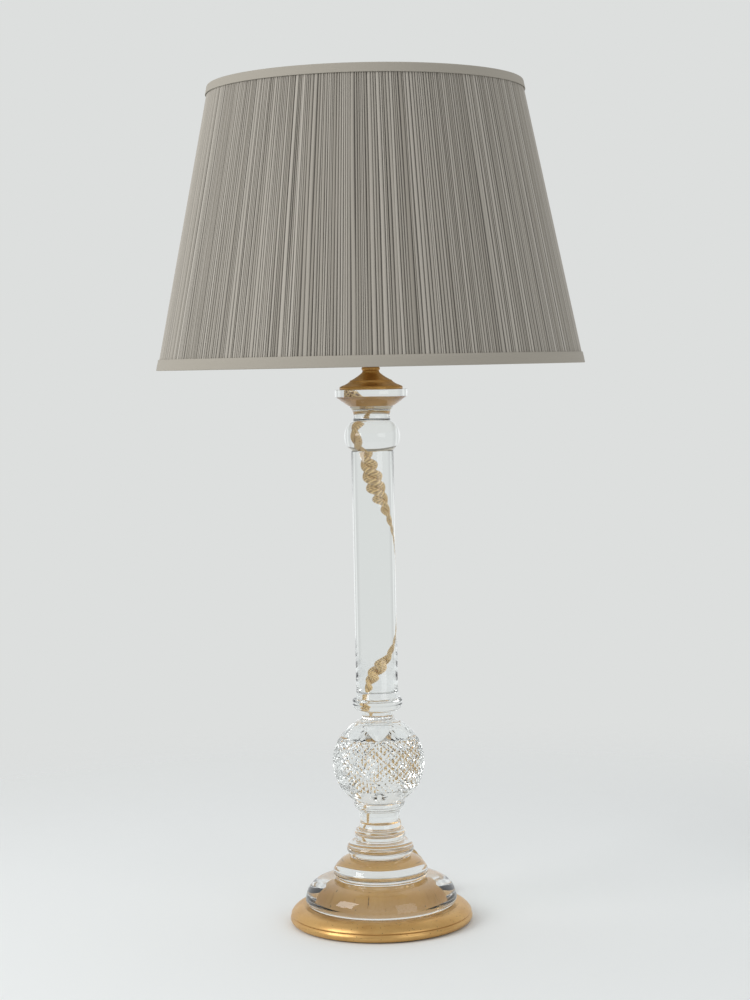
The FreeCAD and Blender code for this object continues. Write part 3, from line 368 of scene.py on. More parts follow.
@dataclass(frozen=True)
class Braid(Finish):
    """Braided rayon over each conductor: a fine herringbone of threads, their crests painted bright as
    highlight and the gaps between them painted dark as shade.

    Args:
        threads: Threads that cross a strand's girth, each way.
        run: Length of one crossing along the strand in millimetres.
        gloss: Strength of the rayon's shine.
    """

    threads: float = 6.0
    run: float = 1.6
    gloss: float = 0.35

    def dress(self, tree: bpy.types.NodeTree, shader: bpy.types.Node, out: bpy.types.Node) -> None:
        """Cross two sets of threads over the strand's own map, with painted highlight on their crests and
        painted shade in the gaps.

        Args:
            tree: The material's node tree.
            shader: Its Principled BSDF.
            out: Its output.
        """
        strand = add_node(tree, "ShaderNodeUVMap", uv_map="strand").outputs["UV"]
        axes = add_node(tree, "ShaderNodeSeparateXYZ", {"Vector": strand})
        sets = []
        for lean in (self.threads, -self.threads):
            around = add_node(tree, "ShaderNodeMath", {
                0: axes.outputs["X"], 1: lean,
            }, operation="MULTIPLY")
            along = add_node(tree, "ShaderNodeMath", {
                0: axes.outputs["Y"], 1: 1 / (self.run * MM),
            }, operation="MULTIPLY")
            both = add_node(tree, "ShaderNodeMath", {
                0: around.outputs[0], 1: along.outputs[0],
            }, operation="ADD")
            turn = add_node(tree, "ShaderNodeMath", {
                0: both.outputs[0], 1: 2 * math.pi,
            }, operation="MULTIPLY")
            sets.append(add_node(tree, "ShaderNodeMath", {0: turn.outputs[0]}, operation="SINE"))
        weave = add_node(tree, "ShaderNodeMath", {
            0: sets[0].outputs[0], 1: sets[1].outputs[0],
        }, operation="MAXIMUM")
        fac = add_node(tree, "ShaderNodeMapRange", {
            "Value": weave.outputs[0], "From Min": -0.6, "From Max": 1.0, "To Min": 0.0, "To Max": 1.0,
        })
        # painted highlight and shade: the bright colour on the thread crests, the dark second colour in the
        # gaps between threads
        tint = add_node(tree, "ShaderNodeMix", {
            "Factor": fac.outputs["Result"], MIX_A: srgb(self.second), MIX_B: srgb(self.colour),
        }, data_type="RGBA")
        shader.inputs["Coat Weight"].default_value = self.gloss
        shader.inputs["Coat Roughness"].default_value = 0.25
        self.lay(tree, shader, tint.outputs[MIX_OUT], weave.outputs[0])


@dataclass(frozen=True)
class PaperSweep(Finish):
    """A pale paper sweep that fades into the pale room away from the lamp.

    Args:
        near: Distance in millimetres at which it starts to fade.
        far: Distance in millimetres at which it is gone.
    """

    near: float = 450.0
    far: float = 1300.0

    def dress(self, tree: bpy.types.NodeTree, shader: bpy.types.Node, out: bpy.types.Node) -> None:
        """Fade the paper out with its distance from the lamp.

        Args:
            tree: The material's node tree.
            shader: Its Principled BSDF.
            out: Its output.
        """
        place = add_node(tree, "ShaderNodeTexCoord").outputs["Object"]
        reach = add_node(tree, "ShaderNodeVectorMath", {0: place}, operation="LENGTH")
        fade = add_node(tree, "ShaderNodeMapRange", {
            "Value": reach.outputs["Value"], "From Min": self.near * MM, "From Max": self.far * MM,
            "To Min": 0.0, "To Max": 1.0,
        }, interpolation_type="SMOOTHSTEP")
        clear = add_node(tree, "ShaderNodeBsdfTransparent")
        mix = add_node(tree, "ShaderNodeMixShader", {
            0: fade.outputs["Result"], 1: shader.outputs["BSDF"], 2: clear.outputs["BSDF"],
        })
        tree.links.new(mix.outputs["Shader"], out.inputs["Surface"])


@dataclass(frozen=True)
class PearlGlass(Finish):
    """Bulb glass with a white inner coat: soft, milky and a little shiny outside.

    Args:
        milk: Share of the light that scatters inside.
        depth: How far it scatters, in millimetres.
        gloss: Strength of the glassy skin.
    """

    milk: float = 0.3
    depth: float = 10.0
    gloss: float = 0.5

    def dress(self, tree: bpy.types.NodeTree, shader: bpy.types.Node, out: bpy.types.Node) -> None:
        """Make it milky under a glossy skin.

        Args:
            tree: The material's node tree.
            shader: Its Principled BSDF.
            out: Its output.
        """
        super().dress(tree, shader, out)
        shader.inputs["Subsurface Weight"].default_value = self.milk
        shader.inputs["Subsurface Radius"].default_value = (self.depth * MM,) * 3
        shader.inputs["Coat Weight"].default_value = self.gloss


class Stuff(Enum):
    """The lamp's finishes."""

    # polished lead crystal: clear, with bright rims and bent images behind it
    CRYSTAL = LeadCrystal("clear_lead_crystal", "clear_glass", "#FAFCFB", "#FAFCFB", roughness=0.0)
    # leaf over gesso: warm satin gold, rubbed through in small places
    GILT_WOOD = GoldLeaf("gold_leaf_on_turned_wood", "gilding", "#DDB777", "#B98A4C", 0.70, 0.36, 0.10, 2.2,
                         0.05)
    # gilt on cast brass: a deeper gold, browned where it is handled
    GILT_METAL = GoldLeaf("antiqued_gilt_brass", "gilding", "#DDAE66", "#9A7038", 0.85, 0.34, 0.08, 1.6, 0.04,
                          worn="#4A3218", wear=0.6)
    # spun silk, gathered: matt taupe, with shade painted almost black between the folds
    SILK = GatheredSilk("gathered_spun_silk", "taupe_silk", "#B9B3A8", "#9B958A", roughness=0.85, grain=0.8,
                        relief=0.03)
    # woven grosgrain: matt, with fine ribs round the edge
    RIBBON = Ribbed("grosgrain_ribbon", "taupe_ribbon", "#AFA99D", "#A09A8E", roughness=0.85, grain=0.7,
                    relief=0.05)
    # stretched cotton: flat cream, a hint of weave
    LINING = Ribbed("cotton_lining", "lining_cloth", "#E4DCCB", "#D9D0BD", roughness=0.9, grain=0.7,
                    relief=0.03, rib=0.9)
    # felted wool: dark green, no shine
    BAIZE = Finish("wool_baize", "baize", "#2F4331", "#26362A", roughness=0.95, grain=0.8, relief=0.15)
    # braided rayon: silky gold threads, crests painted bright as highlight and gaps painted dark as shade
    BRAID = Braid("braided_rayon", "gold_braid", "#F4D394", "#7E5226", roughness=0.38, relief=0.12)
    # brushed and lacquered brass: yellow satin metal
    BRASS = Finish("satin_lacquered_brass", "brass", "#B9975A", "#A98747", 1.0, 0.34, 0.08, 1.2, 0.01)
    # moulded nylon: near black, half matt
    NYLON = Finish("moulded_nylon", "grip_nylon", "#2B2A28", "#232220", roughness=0.45, grain=0.9,
                   relief=0.01)
    # pressed phenolic: black and shiny
    BAKELITE = Finish("phenolic_moulding", "switch_black", "#211E1B", "#181614", roughness=0.25, grain=4.0)
    # glazed ceramic: off-white and glossy
    STEATITE = Finish("glazed_steatite", "ceramic_white", "#E9E4D8", "#DED8CA", roughness=0.22, grain=2.5)
    # drawn steel: grey, bright along the wire
    SPRING = Finish("drawn_spring_steel", "spring_steel", "#A9A9A6", "#8E8E8A", 1.0, 0.32, 0.06, 0.4)
    # spun aluminium: pale grey satin
    ALUMINIUM = Finish("spun_aluminium", "cap_aluminium", "#CFCFD0", "#BDBDBF", 1.0, 0.38, 0.06, 0.8)
    # a set drop of solder: dull grey metal
    SOLDER = Finish("tin_solder", "solder", "#B6B7B9", "#9C9DA0", 1.0, 0.42, 0.08, 1.0, 0.05)
    # blown glass, white inside: milky under a clear skin
    PEARL = PearlGlass("pearl_bulb_glass", "pearl_glass", "#F1EEE6", "#E9E5DB", roughness=0.28, grain=12.0)
    # drawn glass: clear, a little soft
    STEM_GLASS = LeadCrystal("drawn_bulb_glass", "stem_glass", "#F4F7F5", "#F4F7F5", roughness=0.02)
    # sprayed phosphor: matt yellow
    PHOSPHOR = Finish("phosphor_coating", "filament_phosphor", "#E7C659", "#D9B347", roughness=0.7, grain=0.6)
    # moulded polyester: off-white, half gloss
    RING = Finish("moulded_polyester_ring", "ring_white", "#E7E2D6", "#DDD7C9", roughness=0.35, grain=1.5)
    # dipped enamel on wire: off-white, smooth
    ENAMEL = Finish("white_enamelled_wire", "frame_white", "#E5E1D6", "#D8D3C6", roughness=0.30, grain=1.5,
                    relief=0.03)
    # moulded nylon strap: near black
    TIE = Finish("nylon_tie", "tie_black", "#242321", "#1C1B1A", roughness=0.4, grain=0.6)
    # moulded plug: muted gold, half matt
    PLUG = Finish("moulded_plug", "plug_gold", "#B3884A", "#A67C41", roughness=0.38, grain=0.9, relief=0.02)
    # nickel plate: warm grey, nearly a mirror
    NICKEL = Finish("nickel_plated_brass", "nickel", "#BDB9B0", "#A7A39A", 1.0, 0.24, 0.05, 0.8)
    # pale matt paper
    SWEEP = PaperSweep("paper_sweep", "paper", "#EEF0EF", "#EEF0EF", roughness=0.95)

    def material(self) -> bpy.types.Material:
        """The Blender material, made once.

        Returns:
            The material of this finish.
        """
        found = bpy.data.materials.get(self.value.name)
        return found or self.value.build()


# ------------------------------------------------------------------ ways to make a mesh
class Outline:
    """A turned piece's outline, corner by corner, as (radius, height) in millimetres."""

    def __init__(self, radius: float, height: float) -> None:
        """Start the outline at one corner."""
        self.points: list[Point] = [(radius, height)]

    def line(self, radius: float, height: float, steps: int = 1) -> Outline:
        """Go straight to a corner.

        Args:
            radius: Its distance from the axis.
            height: Its height.
            steps: How many runs the line is cut into.

        Returns:
            The outline, for the next corner.
        """
        first = self.points[-1]
        for step in range(1, steps + 1):
            share = step / steps
            self.points.append((first[0] + (radius - first[0]) * share,
                                first[1] + (height - first[1]) * share))
        return self

    def arc(self, through: Point, to: Point, steps: int = 10) -> Outline:
        """Go to a corner by the circle through a point between.

        Args:
            through: A point of the arc.
            to: The corner it ends at.
            steps: How many runs the arc is cut into.

        Returns:
            The outline, for the next corner.
        """
        first = self.points[-1]
        (x1, y1), (x2, y2), (x3, y3) = first, through, to
        cross = 2 * (x1 * (y2 - y3) + x2 * (y3 - y1) + x3 * (y1 - y2))
        rise = [x * x + y * y for x, y in (first, through, to)]
        cx = (rise[0] * (y2 - y3) + rise[1] * (y3 - y1) + rise[2] * (y1 - y2)) / cross
        cy = (rise[0] * (x3 - x2) + rise[1] * (x1 - x3) + rise[2] * (x2 - x1)) / cross
        start, middle, end = (math.atan2(y - cy, x - cx) for x, y in (first, through, to))
        turn = (end - start) % (2 * math.pi)
        if (middle - start) % (2 * math.pi) > turn:
            turn -= 2 * math.pi
        radius = math.hypot(x1 - cx, y1 - cy)
        for step in range(1, steps + 1):
            angle = start + turn * step / steps
            self.points.append((cx + radius * math.cos(angle), cy + radius * math.sin(angle)))
        return self


def spin(mesh: bmesh.types.BMesh, points: list[Point], steps: int = 96, closed: bool = False) -> None:
    """Turn an outline about the lamp's axis into a mesh.

    Args:
        mesh: The mesh it goes into.
        points: The outline, as (radius, height) in millimetres.
        steps: Segments round the axis.
        closed: Whether the outline joins its own start, as a ring's section does.
    """
    line = [mesh.verts.new((radius * MM, 0.0, height * MM)) for radius, height in points]
    ends = line[1:] + line[:1] if closed else line[1:]
    edges = [mesh.edges.new(pair) for pair in zip(line, ends)]
    bmesh.ops.spin(mesh, geom=line + edges, cent=(0, 0, 0), axis=(0, 0, 1), dvec=(0, 0, 0),
                   angle=2 * math.pi, steps=steps, use_merge=True, use_duplicate=False)
    bmesh.ops.remove_doubles(mesh, verts=mesh.verts, dist=WELD)


def grid(mesh: bmesh.types.BMesh, across: int, along: int) -> list[list[bmesh.types.BMVert]]:
    """Make a grid of quads, whose vertices are then laid where they belong.

    Args:
        mesh: The mesh it goes into; a UV layer in it is filled from 0 to 1.
        across: Faces in a row.
        along: Rows of faces.

    Returns:
        The vertices, row by row.
    """
    made = bmesh.ops.create_grid(mesh, x_segments=across, y_segments=along, size=1.0, calc_uvs=True)["verts"]
    rows = [[None] * (across + 1) for _ in range(along + 1)]
    for vert in made:
        rows[round((vert.co.y + 1) / 2 * along)][round((vert.co.x + 1) / 2 * across)] = vert
    return rows


def close_seam(mesh: bmesh.types.BMesh, rows: list[list[bmesh.types.BMVert]]) -> None:
    """Weld a wrapped grid's last column to its first.

    Args:
        mesh: The mesh.
        rows: The grid's vertices.
    """
    seam = [row[0] for row in rows] + [row[-1] for row in rows]
    bmesh.ops.remove_doubles(mesh, verts=seam, dist=SEAM_WELD)


def crisp_edges(mesh: bmesh.types.BMesh, limit: float) -> None:
    """Keep the sharp edges of a smooth mesh crisp.

    Args:
        mesh: The mesh.
        limit: Edges sharper than this, in degrees, stay crisp.
    """
    for edge in mesh.edges:
        if len(edge.link_faces) == 2:
            edge.smooth = edge.calc_face_angle(0.0) < math.radians(limit)


def use_up(name: str, mesh: bmesh.types.BMesh) -> bpy.types.Mesh:
    """Store a bmesh as mesh data, and free it.

    Args:
        name: The data's name.
        mesh: The bmesh.

    Returns:
        The mesh data.
    """
    data = bpy.data.meshes.new(name)
    mesh.to_mesh(data)
    mesh.free()
    return data


def finish_piece(name: str, mesh: bmesh.types.BMesh, stuff: Stuff, body: str,
                 smooth: float = 40.0) -> bpy.types.Object:
    """Point a mesh's faces outwards, smooth it and make a dressed object of it.

    Args:
        name: The piece's name.
        mesh: Its mesh, which is used up.
        stuff: Its finish.
        body: The CAD body it rides on.
        smooth: Edges sharper than this, in degrees, stay crisp.

    Returns:
        The object.
    """
    bmesh.ops.recalc_face_normals(mesh, faces=mesh.faces)
    for face in mesh.faces:
        face.smooth = True
    crisp_edges(mesh, smooth)
    return add_object(name, mesh, stuff, body)


def add_object(name: str, mesh: bmesh.types.BMesh, stuff: Stuff, body: str) -> bpy.types.Object:
    """Put a finished mesh in the scene, dress it, and let it ride.

    Args:
        name: The piece's name.
        mesh: Its mesh, which is used up.
        stuff: Its finish.
        body: The CAD body it rides on.

    Returns:
        The object.
    """
    data = use_up(name, mesh)
    piece = bpy.data.objects.new(name, data)
    bpy.context.scene.collection.objects.link(piece)
    data.materials.append(stuff.material())
    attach(piece, body)
    LOG.info("%s: %d faces", name, len(data.polygons))
    return piece


def turned(name: str, outline: Outline, stuff: Stuff, body: str, nodes: tuple[str, ...], steps: int = 96,
           closed: bool = False, smooth: float = 40.0) -> bpy.types.Object:
    """A turned piece that stands for CAD nodes.

    Args:
        name: The piece's name.
        outline: Its outline.
        stuff: Its finish.
        body: The CAD body it rides on.
        nodes: The CAD nodes it stands for.
        steps: Segments round the axis.
        closed: Whether the outline joins its own start.
        smooth: Edges sharper than this, in degrees, stay crisp.

    Returns:
        The object.
    """
    mesh = bmesh.new()
    spin(mesh, outline.points, steps, closed)
    piece = finish_piece(name, mesh, stuff, body, smooth)
    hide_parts(*nodes)
    return piece


# ------------------------------------------------------------------ sub-assemblies
@dataclass
class Plinth:
    """The gilded, turned plinth and its baize."""

    felt: float = 1.5
    pad_radius: float = 93.0
    pad_edge: float = 0.4
    seat: float = 19.4
    seat_radius: float = 84.5

    def build(self) -> None:
        """Turn the plinth, and lay the baize under it."""
        outline = (
            Outline(0, self.felt)
            .line(96.3, self.felt, 3)
            .arc((97.1, 1.9), (97.6, 2.6), 4)
            .arc((98.8, 5.3), (97.9, 8.3), 10)
            .arc((97.4, 9.3), (96.7, 9.75), 5)
            .line(96.9, 10.1)
            .arc((97.7, 10.3), (97.8, 10.9), 4)
            .arc((93.0, 16.4), (86.0, 19.1), 14)
            .arc((85.3, 19.35), (self.seat_radius, self.seat), 3)
            .line(0, self.seat, 6)
        )
        turned("gilt_plinth_turning", outline, Stuff.GILT_WOOD, "lamp", ("gilt_plinth",), 160)
        pad = (
            Outline(0, 0.0)
            .line(self.pad_radius - self.pad_edge, 0.0, 4)
            .line(self.pad_radius, self.pad_edge)
            .line(self.pad_radius, self.felt)
            .line(0, self.felt, 4)
        )
        turned("baize_disc", pad, Stuff.BAIZE, "lamp", ("felt_pad",), 96)


@dataclass
class Candlestick:
    """The bonded glass turnings, as one clear solid, with the diamond-cut ball.

    The glass dips into the gilding by `coupling` out to the radius `glued`, and clears it past that, so that
    gold shows only where the two are bonded.
    """

    seat: float = Plinth.seat
    coupling: float = 0.3
    glued: float = 54.0
    ball_low: float = 132.4
    ball_high: float = 218.9
    ball_runs: int = 8
    rod_radius: float = 22.6
    disc_radius: float = 39.1
    top: float = 577.3
    crisp: float = 32.0
    ball_centre: float = 174.5
    ball_radius: float = 49.9
    cut_low: float = 147.5
    cut_high: float = 203.0
    cuts_round: int = 36
    cut_rows: int = 14
    cut_depth: float = 1.4
    cut_margin: float = 0.8
    steps: int = 144

    def build(self) -> None:
        """Spin the smooth lengths, cut the ball between them, and close them into one skin."""
        mesh = bmesh.new()
        layer = mesh.faces.layers.int.new("facet")
        self.cut_band(mesh, layer)
        spin(mesh, self.lower().points, self.steps)
        spin(mesh, self.upper().points, self.steps)
        rims = [edge for edge in mesh.edges if edge.is_boundary]
        rims.sort(key=lambda edge: edge.verts[0].co.z + edge.verts[1].co.z)
        columns = self.cuts_round * 2
        bmesh.ops.bridge_loops(mesh, edges=rims[:self.steps + columns])
        bmesh.ops.bridge_loops(mesh, edges=rims[self.steps + columns:])
        bmesh.ops.recalc_face_normals(mesh, faces=mesh.faces)
        for face in mesh.faces:
            face.smooth = face[layer] == 0
        crisp_edges(mesh, self.crisp)
        piece = add_object("candlestick_glass", mesh, Stuff.CRYSTAL, "lamp")
        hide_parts("foot_dome", "upper_dome", "knop_ring", "stem", "ball_cup", "cut_ball",
                    "ball_neck", "column_collar", "column_rod", "column_ball", "top_cone", "top_disc")

    def ball_point(self, height: float) -> Point:
        """The ball's outline at a height.

        Args:
            height: Height in millimetres.

        Returns:
            Radius and height there.
        """
        return math.sqrt(self.ball_radius ** 2 - (height - self.ball_centre) ** 2), height

    def lower(self) -> Outline:
        """The outline from the foot to the lower edge of the cut band."""
        outline = (
            Outline(0, self.seat - self.coupling)
            .line(self.glued, self.seat - self.coupling, 6)
            .line(self.glued + 0.5, self.seat + self.coupling)
            .line(79.2, self.seat + self.coupling, 3)
            .line(79.8, 20.2)
            .arc((81.8, 23.6), (81.5, 29.0), 8)
            .arc((76.9, 39.4), (66.4, 45.9), 14)
            .arc((58.5, 47.8), (49.5, 48.3), 6)
            .arc((47.9, 48.5), (47.7, 49.2), 3)
            .arc((51.3, 54.2), (49.4, 60.4), 10)
            .arc((44.3, 66.6), (32.6, 71.6), 12)
            .arc((31.5, 72.1), (31.7, 72.7), 3)
            .arc((36.2, 80.2), (31.6, 87.6), 14)
            .arc((30.0, 88.3), (27.6, 88.4), 3)
            .arc((26.4, 89.2), (26.2, 91.6), 4)
            .arc((27.4, 96.8), (26.4, 100.6), 7)
            .arc((25.4, 101.6), (24.0, 101.8), 3)
            .arc((22.0, 106.9), (21.5, 113.6), 8)
            .arc((22.2, 120.2), (23.6, 123.4), 6)
            .arc((24.6, 124.0), (25.9, 124.5), 3)
            .arc((27.6, 128.0), (27.0, 131.2), 6)
            .arc((26.5, 131.8), (26.9, self.ball_low), 3)
        )
        for step in range(1, self.ball_runs + 1):
            rise = (self.cut_low - self.ball_low) * step / self.ball_runs
            outline.line(*self.ball_point(self.ball_low + rise))
        return outline

    def upper(self) -> Outline:
        """The outline from the upper edge of the cut band to the disc's flat top."""
        outline = Outline(*self.ball_point(self.cut_high))
        for step in range(1, self.ball_runs + 1):
            rise = (self.ball_high - self.cut_high) * step / self.ball_runs
            outline.line(*self.ball_point(self.cut_high + rise))
        return (
            outline
            .arc((20.2, 219.6), (19.4, 220.4), 3)
            .arc((17.4, 223.6), (17.0, 228.4), 7)
            .arc((17.3, 229.8), (20.4, 230.4), 4)
            .arc((25.4, 233.9), (26.6, 239.6), 9)
            .arc((26.2, 243.0), (24.6, 244.3), 5)
            .arc((22.9, 244.5), (self.rod_radius, 245.2), 3)
            .line(self.rod_radius, 510.6, 4)
            .arc((22.4, 511.2), (22.0, 511.6), 3)
            .arc((30.0, 526.4), (21.0, 543.2), 20)
            .arc((20.2, 543.8), (20.0, 544.6), 3)
            .arc((19.5, 550.0), (20.7, 554.9), 7)
            .line(23.4, 558.9, 2)
            .arc((24.0, 559.6), (25.2, 559.8), 3)
            .line(37.4, 568.6, 3)
            .arc((37.9, 569.2), (38.5, 569.5), 2)
            .arc((39.0, 569.7), (self.disc_radius, 570.2), 2)
            .line(self.disc_radius, 576.6)
            .arc((39.0, 577.1), (38.5, self.top), 2)
            .line(0, self.top, 3)
        )

    def cut_band(self, mesh: bmesh.types.BMesh, layer: bmesh.types.BMLayerItem) -> None:
        """Cut crossing grooves round the ball, which leave rows of small pyramids.

        Args:
            mesh: The mesh they go into.
            layer: The face layer that marks the facets.
        """
        columns = self.cuts_round * 2
        low = math.asin((self.cut_low + self.cut_margin - self.ball_centre) / self.ball_radius)
        high = math.asin((self.cut_high - self.cut_margin - self.ball_centre) / self.ball_radius)
        rows = grid(mesh, columns, self.cut_rows)
        for number, row in enumerate(rows):
            lift = low + (high - low) * number / self.cut_rows
            for column, vert in enumerate(row):
                sunk = self.cut_depth if (number + column) % 2 == 0 else 0.0
                radius = (self.ball_radius - sunk) * MM
                angle = 2 * math.pi * column / columns
                vert.co = (radius * math.cos(lift) * math.cos(angle),
                           radius * math.cos(lift) * math.sin(angle),
                           self.ball_centre * MM + radius * math.sin(lift))
        close_seam(mesh, rows)
        centre = Vector((0, 0, self.ball_centre * MM))
        for face in list(mesh.faces):
            face[layer] = 1
            deep = sorted(face.verts, key=lambda vert: (vert.co - centre).length)
            bmesh.utils.face_split(face, deep[0], deep[1])


@dataclass
class Cap:
    """The gilded, turned cap on the glass, with its bead, and the lamp thread in it."""

    seat: float = Candlestick.top
    coupling: float = Candlestick.coupling
    clearance: float = 0.15
    glued: float = 31.0
    hole_radius: float = 5.0
    hole_floor: float = 584.3

    def build(self) -> None:
        """Turn the cap, whose glued middle sinks a hair into the glass so that it shows through it."""
        outline = (
            Outline(0, self.seat - self.coupling)
            .line(self.glued, self.seat - self.coupling, 3)
            .line(self.glued + 0.4, self.seat + self.clearance)
            .line(32.9, self.seat + self.clearance, 3)
            .arc((33.7, 577.5), (33.9, 578.4), 3)
            .arc((33.8, 579.6), (33.0, 580.4), 4)
            .arc((31.8, 581.0), (30.2, 581.7), 3)
            .arc((25.4, 583.9), (22.6, 586.1), 7)
            .arc((22.2, 586.9), (21.4, 587.1), 3)
            .arc((15.9, 590.2), (11.0, 593.8), 9)
            .arc((9.3, 595.6), (8.8, 597.0), 5)
            .arc((9.9, 599.3), (7.5, 601.7), 8)
            .arc((6.6, 601.8), (self.hole_radius, 601.8), 2)
            .line(self.hole_radius, self.hole_floor)
            .line(0, self.hole_floor)
        )
        turned("gilt_cap_turning", outline, Stuff.GILT_METAL, "lamp", ("gilt_cap",), 112, smooth=50)


@dataclass
class Fittings:
    """CAD nodes whose shape is right: they get the finish of what they are."""

    def build(self, nodes: dict[str, bpy.types.Object]) -> None:
        """Dress every node that still shows.

        Args:
            nodes: The frame's nodes by name.
        """
        finishes = {
            Stuff.BRASS: ("threaded_nipple", "lock_nut", "holder_base", "holder_skirt", "plunger_front",
                          "plunger_rear"),
            Stuff.NYLON: ("cord_grip",),
            Stuff.BAKELITE: ("switch_bar", "switch_block", "bulb_insulator"),
            Stuff.SPRING: ("plunger_spring_front", "plunger_spring_rear"),
            Stuff.STEATITE: ("contact_block",),
            Stuff.ALUMINIUM: ("bulb_cap",),
            Stuff.SOLDER: ("bulb_contacts",),
            Stuff.PEARL: ("bulb_glass",),
            Stuff.STEM_GLASS: ("bulb_stem",),
            Stuff.PHOSPHOR: ("bulb_filaments",),
            Stuff.RING: ("shade_ring_lower", "shade_ring_upper"),
            Stuff.ENAMEL: ("carrier_plate", "carrier_uprights", "carrier_top_ring", "gimbal_ring",
                           "gimbal_arms", "shade_struts", "shade_bottom_wire", "shade_top_wire"),
            Stuff.TIE: ("coil_tie",),
            Stuff.PLUG: ("plug_boot", "plug_body"),
            Stuff.NICKEL: ("plug_pins",),
        }
        for stuff, names in finishes.items():
            for name in names:
                piece = nodes[name]
                piece.data.materials.clear()
                piece.data.materials.append(stuff.material())
                LOG.info("%s: %s", name, stuff.value.name)


@dataclass
class Shade:
    """The gathered cover, its lining and its two ribbon bindings."""

    bottom: float = 601.4
    height: float = 299.0
    bottom_radius: float = 227.5
    top_radius: float = 166.6
    folds: int = 470
    fold_depth: float = 1.5
    rows: int = 16
    cover_gap: float = 0.3
    swell: float = 0.25
    binding: float = 1.1
    binding_gap: float = 0.05
    binding_reach: float = 5.7
    top_hem: float = 9.7
    bottom_hem: float = 11.6
    lining_inset: float = 5.0
    lining_thickness: float = 0.5
    lining_margin: float = 1.6
    seed: int = 7

    def radius(self, rise: float) -> float:
        """The cover's outer radius at a height over the shade's bottom edge."""
        return self.bottom_radius - (self.bottom_radius - self.top_radius) * rise / self.height

    def build(self) -> None:
        """Gather the cover, and add the lining and the bindings."""
        cover = self.cover()
        lining = self.lining()
        bindings = [self.trim("top_binding", "top_trim", self.height, -self.top_hem),
                    self.trim("bottom_binding", "bottom_trim", 0.0, self.bottom_hem)]

    def cover(self) -> bpy.types.Object:
        """Gather the cloth: folds of many widths that run from binding to binding.

        Returns:
            The cover.
        """
        rng = random.Random(self.seed)
        widths = [min(max(rng.lognormvariate(0.0, 0.38), 0.5), 1.9) for _ in range(self.folds)]
        scale = 2 * math.pi / sum(widths)
        starts, angle = [], 0.0
        for width in widths:
            starts.append(angle)
            angle += width * scale
        depths = [self.fold_depth * rng.uniform(0.45, 1.0) for _ in widths]
        tones = [rng.random() for _ in widths]
        waves = [(rng.uniform(0, 6.28), rng.uniform(-0.18, 0.18)) for _ in widths]
        shape = ((0.0, 1.0), (0.13, 0.50), (0.30, 0.12), (0.5, 0.0), (0.71, 0.14), (0.88, 0.55))
        columns = [(number, share, valley) for number in range(self.folds) for share, valley in shape]
        mesh = bmesh.new()
        layer = mesh.verts.layers.float_color.new("fold")
        rows = grid(mesh, len(columns), self.rows)
        low = self.binding + self.cover_gap
        for row, ring in enumerate(rows):
            share_up = row / self.rows
            rise = low + (self.height - 2 * low) * share_up
            for vert, (number, share, valley) in zip(ring, columns + columns[:1]):
                phase, sway = waves[number]
                width = widths[number] * scale
                turn = starts[number] + width * share
                turn += width * sway * math.sin(phase + share_up * 4.2) * (1 - abs(2 * share_up - 1) * 0.5)
                sink = depths[number] * valley * (0.75 + 0.25 * math.sin(phase * 2 + share_up * 5.0))
                spot = Vector((math.cos(turn) * 3, math.sin(turn) * 3, share_up * 2))
                swell = self.swell * noise.noise(spot)
                radius = (self.radius(rise) - self.swell - sink + swell) * MM
                vert.co = (radius * math.cos(turn), radius * math.sin(turn), (self.bottom + rise) * MM)
                # red is how deep in its fold's valley the point lies, which the silk paints as shade; green
                # is the fold's own random tone
                vert[layer] = (valley, tones[number], 0.0, 1.0)
        close_seam(mesh, rows)
        piece = finish_piece("gathered_cover", mesh, Stuff.SILK, "shade", smooth=75)
        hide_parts("shade_cover")
        return piece

    def lining(self) -> bpy.types.Object:
        """Stretch the lining inside the wires.

        Returns:
            The lining.
        """
        inset, thick = self.lining_inset, self.lining_thickness
        low, high = self.lining_margin, self.height - self.lining_margin
        outline = (
            Outline(self.radius(low) - inset, self.bottom + low)
            .line(self.radius(high) - inset, self.bottom + high, 8)
            .line(self.radius(high) - inset - thick, self.bottom + high)
            .line(self.radius(low) - inset - thick, self.bottom + low, 8)
        )
        return turned("cotton_lining", outline, Stuff.LINING, "shade", ("shade_lining",), 192, closed=True)

    def trim(self, name: str, node: str, edge: float, width: float) -> bpy.types.Object:
        """Fold a ribbon over one end of the shade.

        Args:
            name: The piece's name.
            node: The CAD node it stands for.
            edge: Height of the shade's end over its bottom edge.
            width: The ribbon's height on the outside; negative hangs down from the end.

        Returns:
            The binding.
        """
        hem, fold = edge + width, edge + math.copysign(self.binding, width)
        out, inside, thick = self.binding_gap, self.binding_reach, self.binding
        lift = self.bottom
        outline = (
            Outline(self.radius(hem) + out, lift + hem)
            .line(self.radius(fold) + out, lift + fold, 3)
            .line(self.radius(fold) - inside, lift + fold)
            .line(self.radius(hem) - inside, lift + hem, 3)
            .line(self.radius(hem) - inside - thick * 0.6, lift + hem)
            .line(self.radius(fold) - inside - thick * 0.7, lift + fold, 3)
            .arc((self.radius(edge) - inside - thick * 0.3, lift + edge + (fold - edge) * 0.25),
                 (self.radius(edge) - inside + thick, lift + edge), 4)
            .line(self.radius(edge), lift + edge)
            .arc((self.radius(edge) + thick * 0.75, lift + edge + (fold - edge) * 0.3),
                 (self.radius(fold) + thick, lift + fold), 4)
            .line(self.radius(hem) + thick, lift + hem - math.copysign(0.3, width), 3)
            .line(self.radius(hem) + thick * 0.6, lift + hem)
        )
        return turned(name, outline, Stuff.RIBBON, "shade", (node,), 256, closed=True, smooth=50)


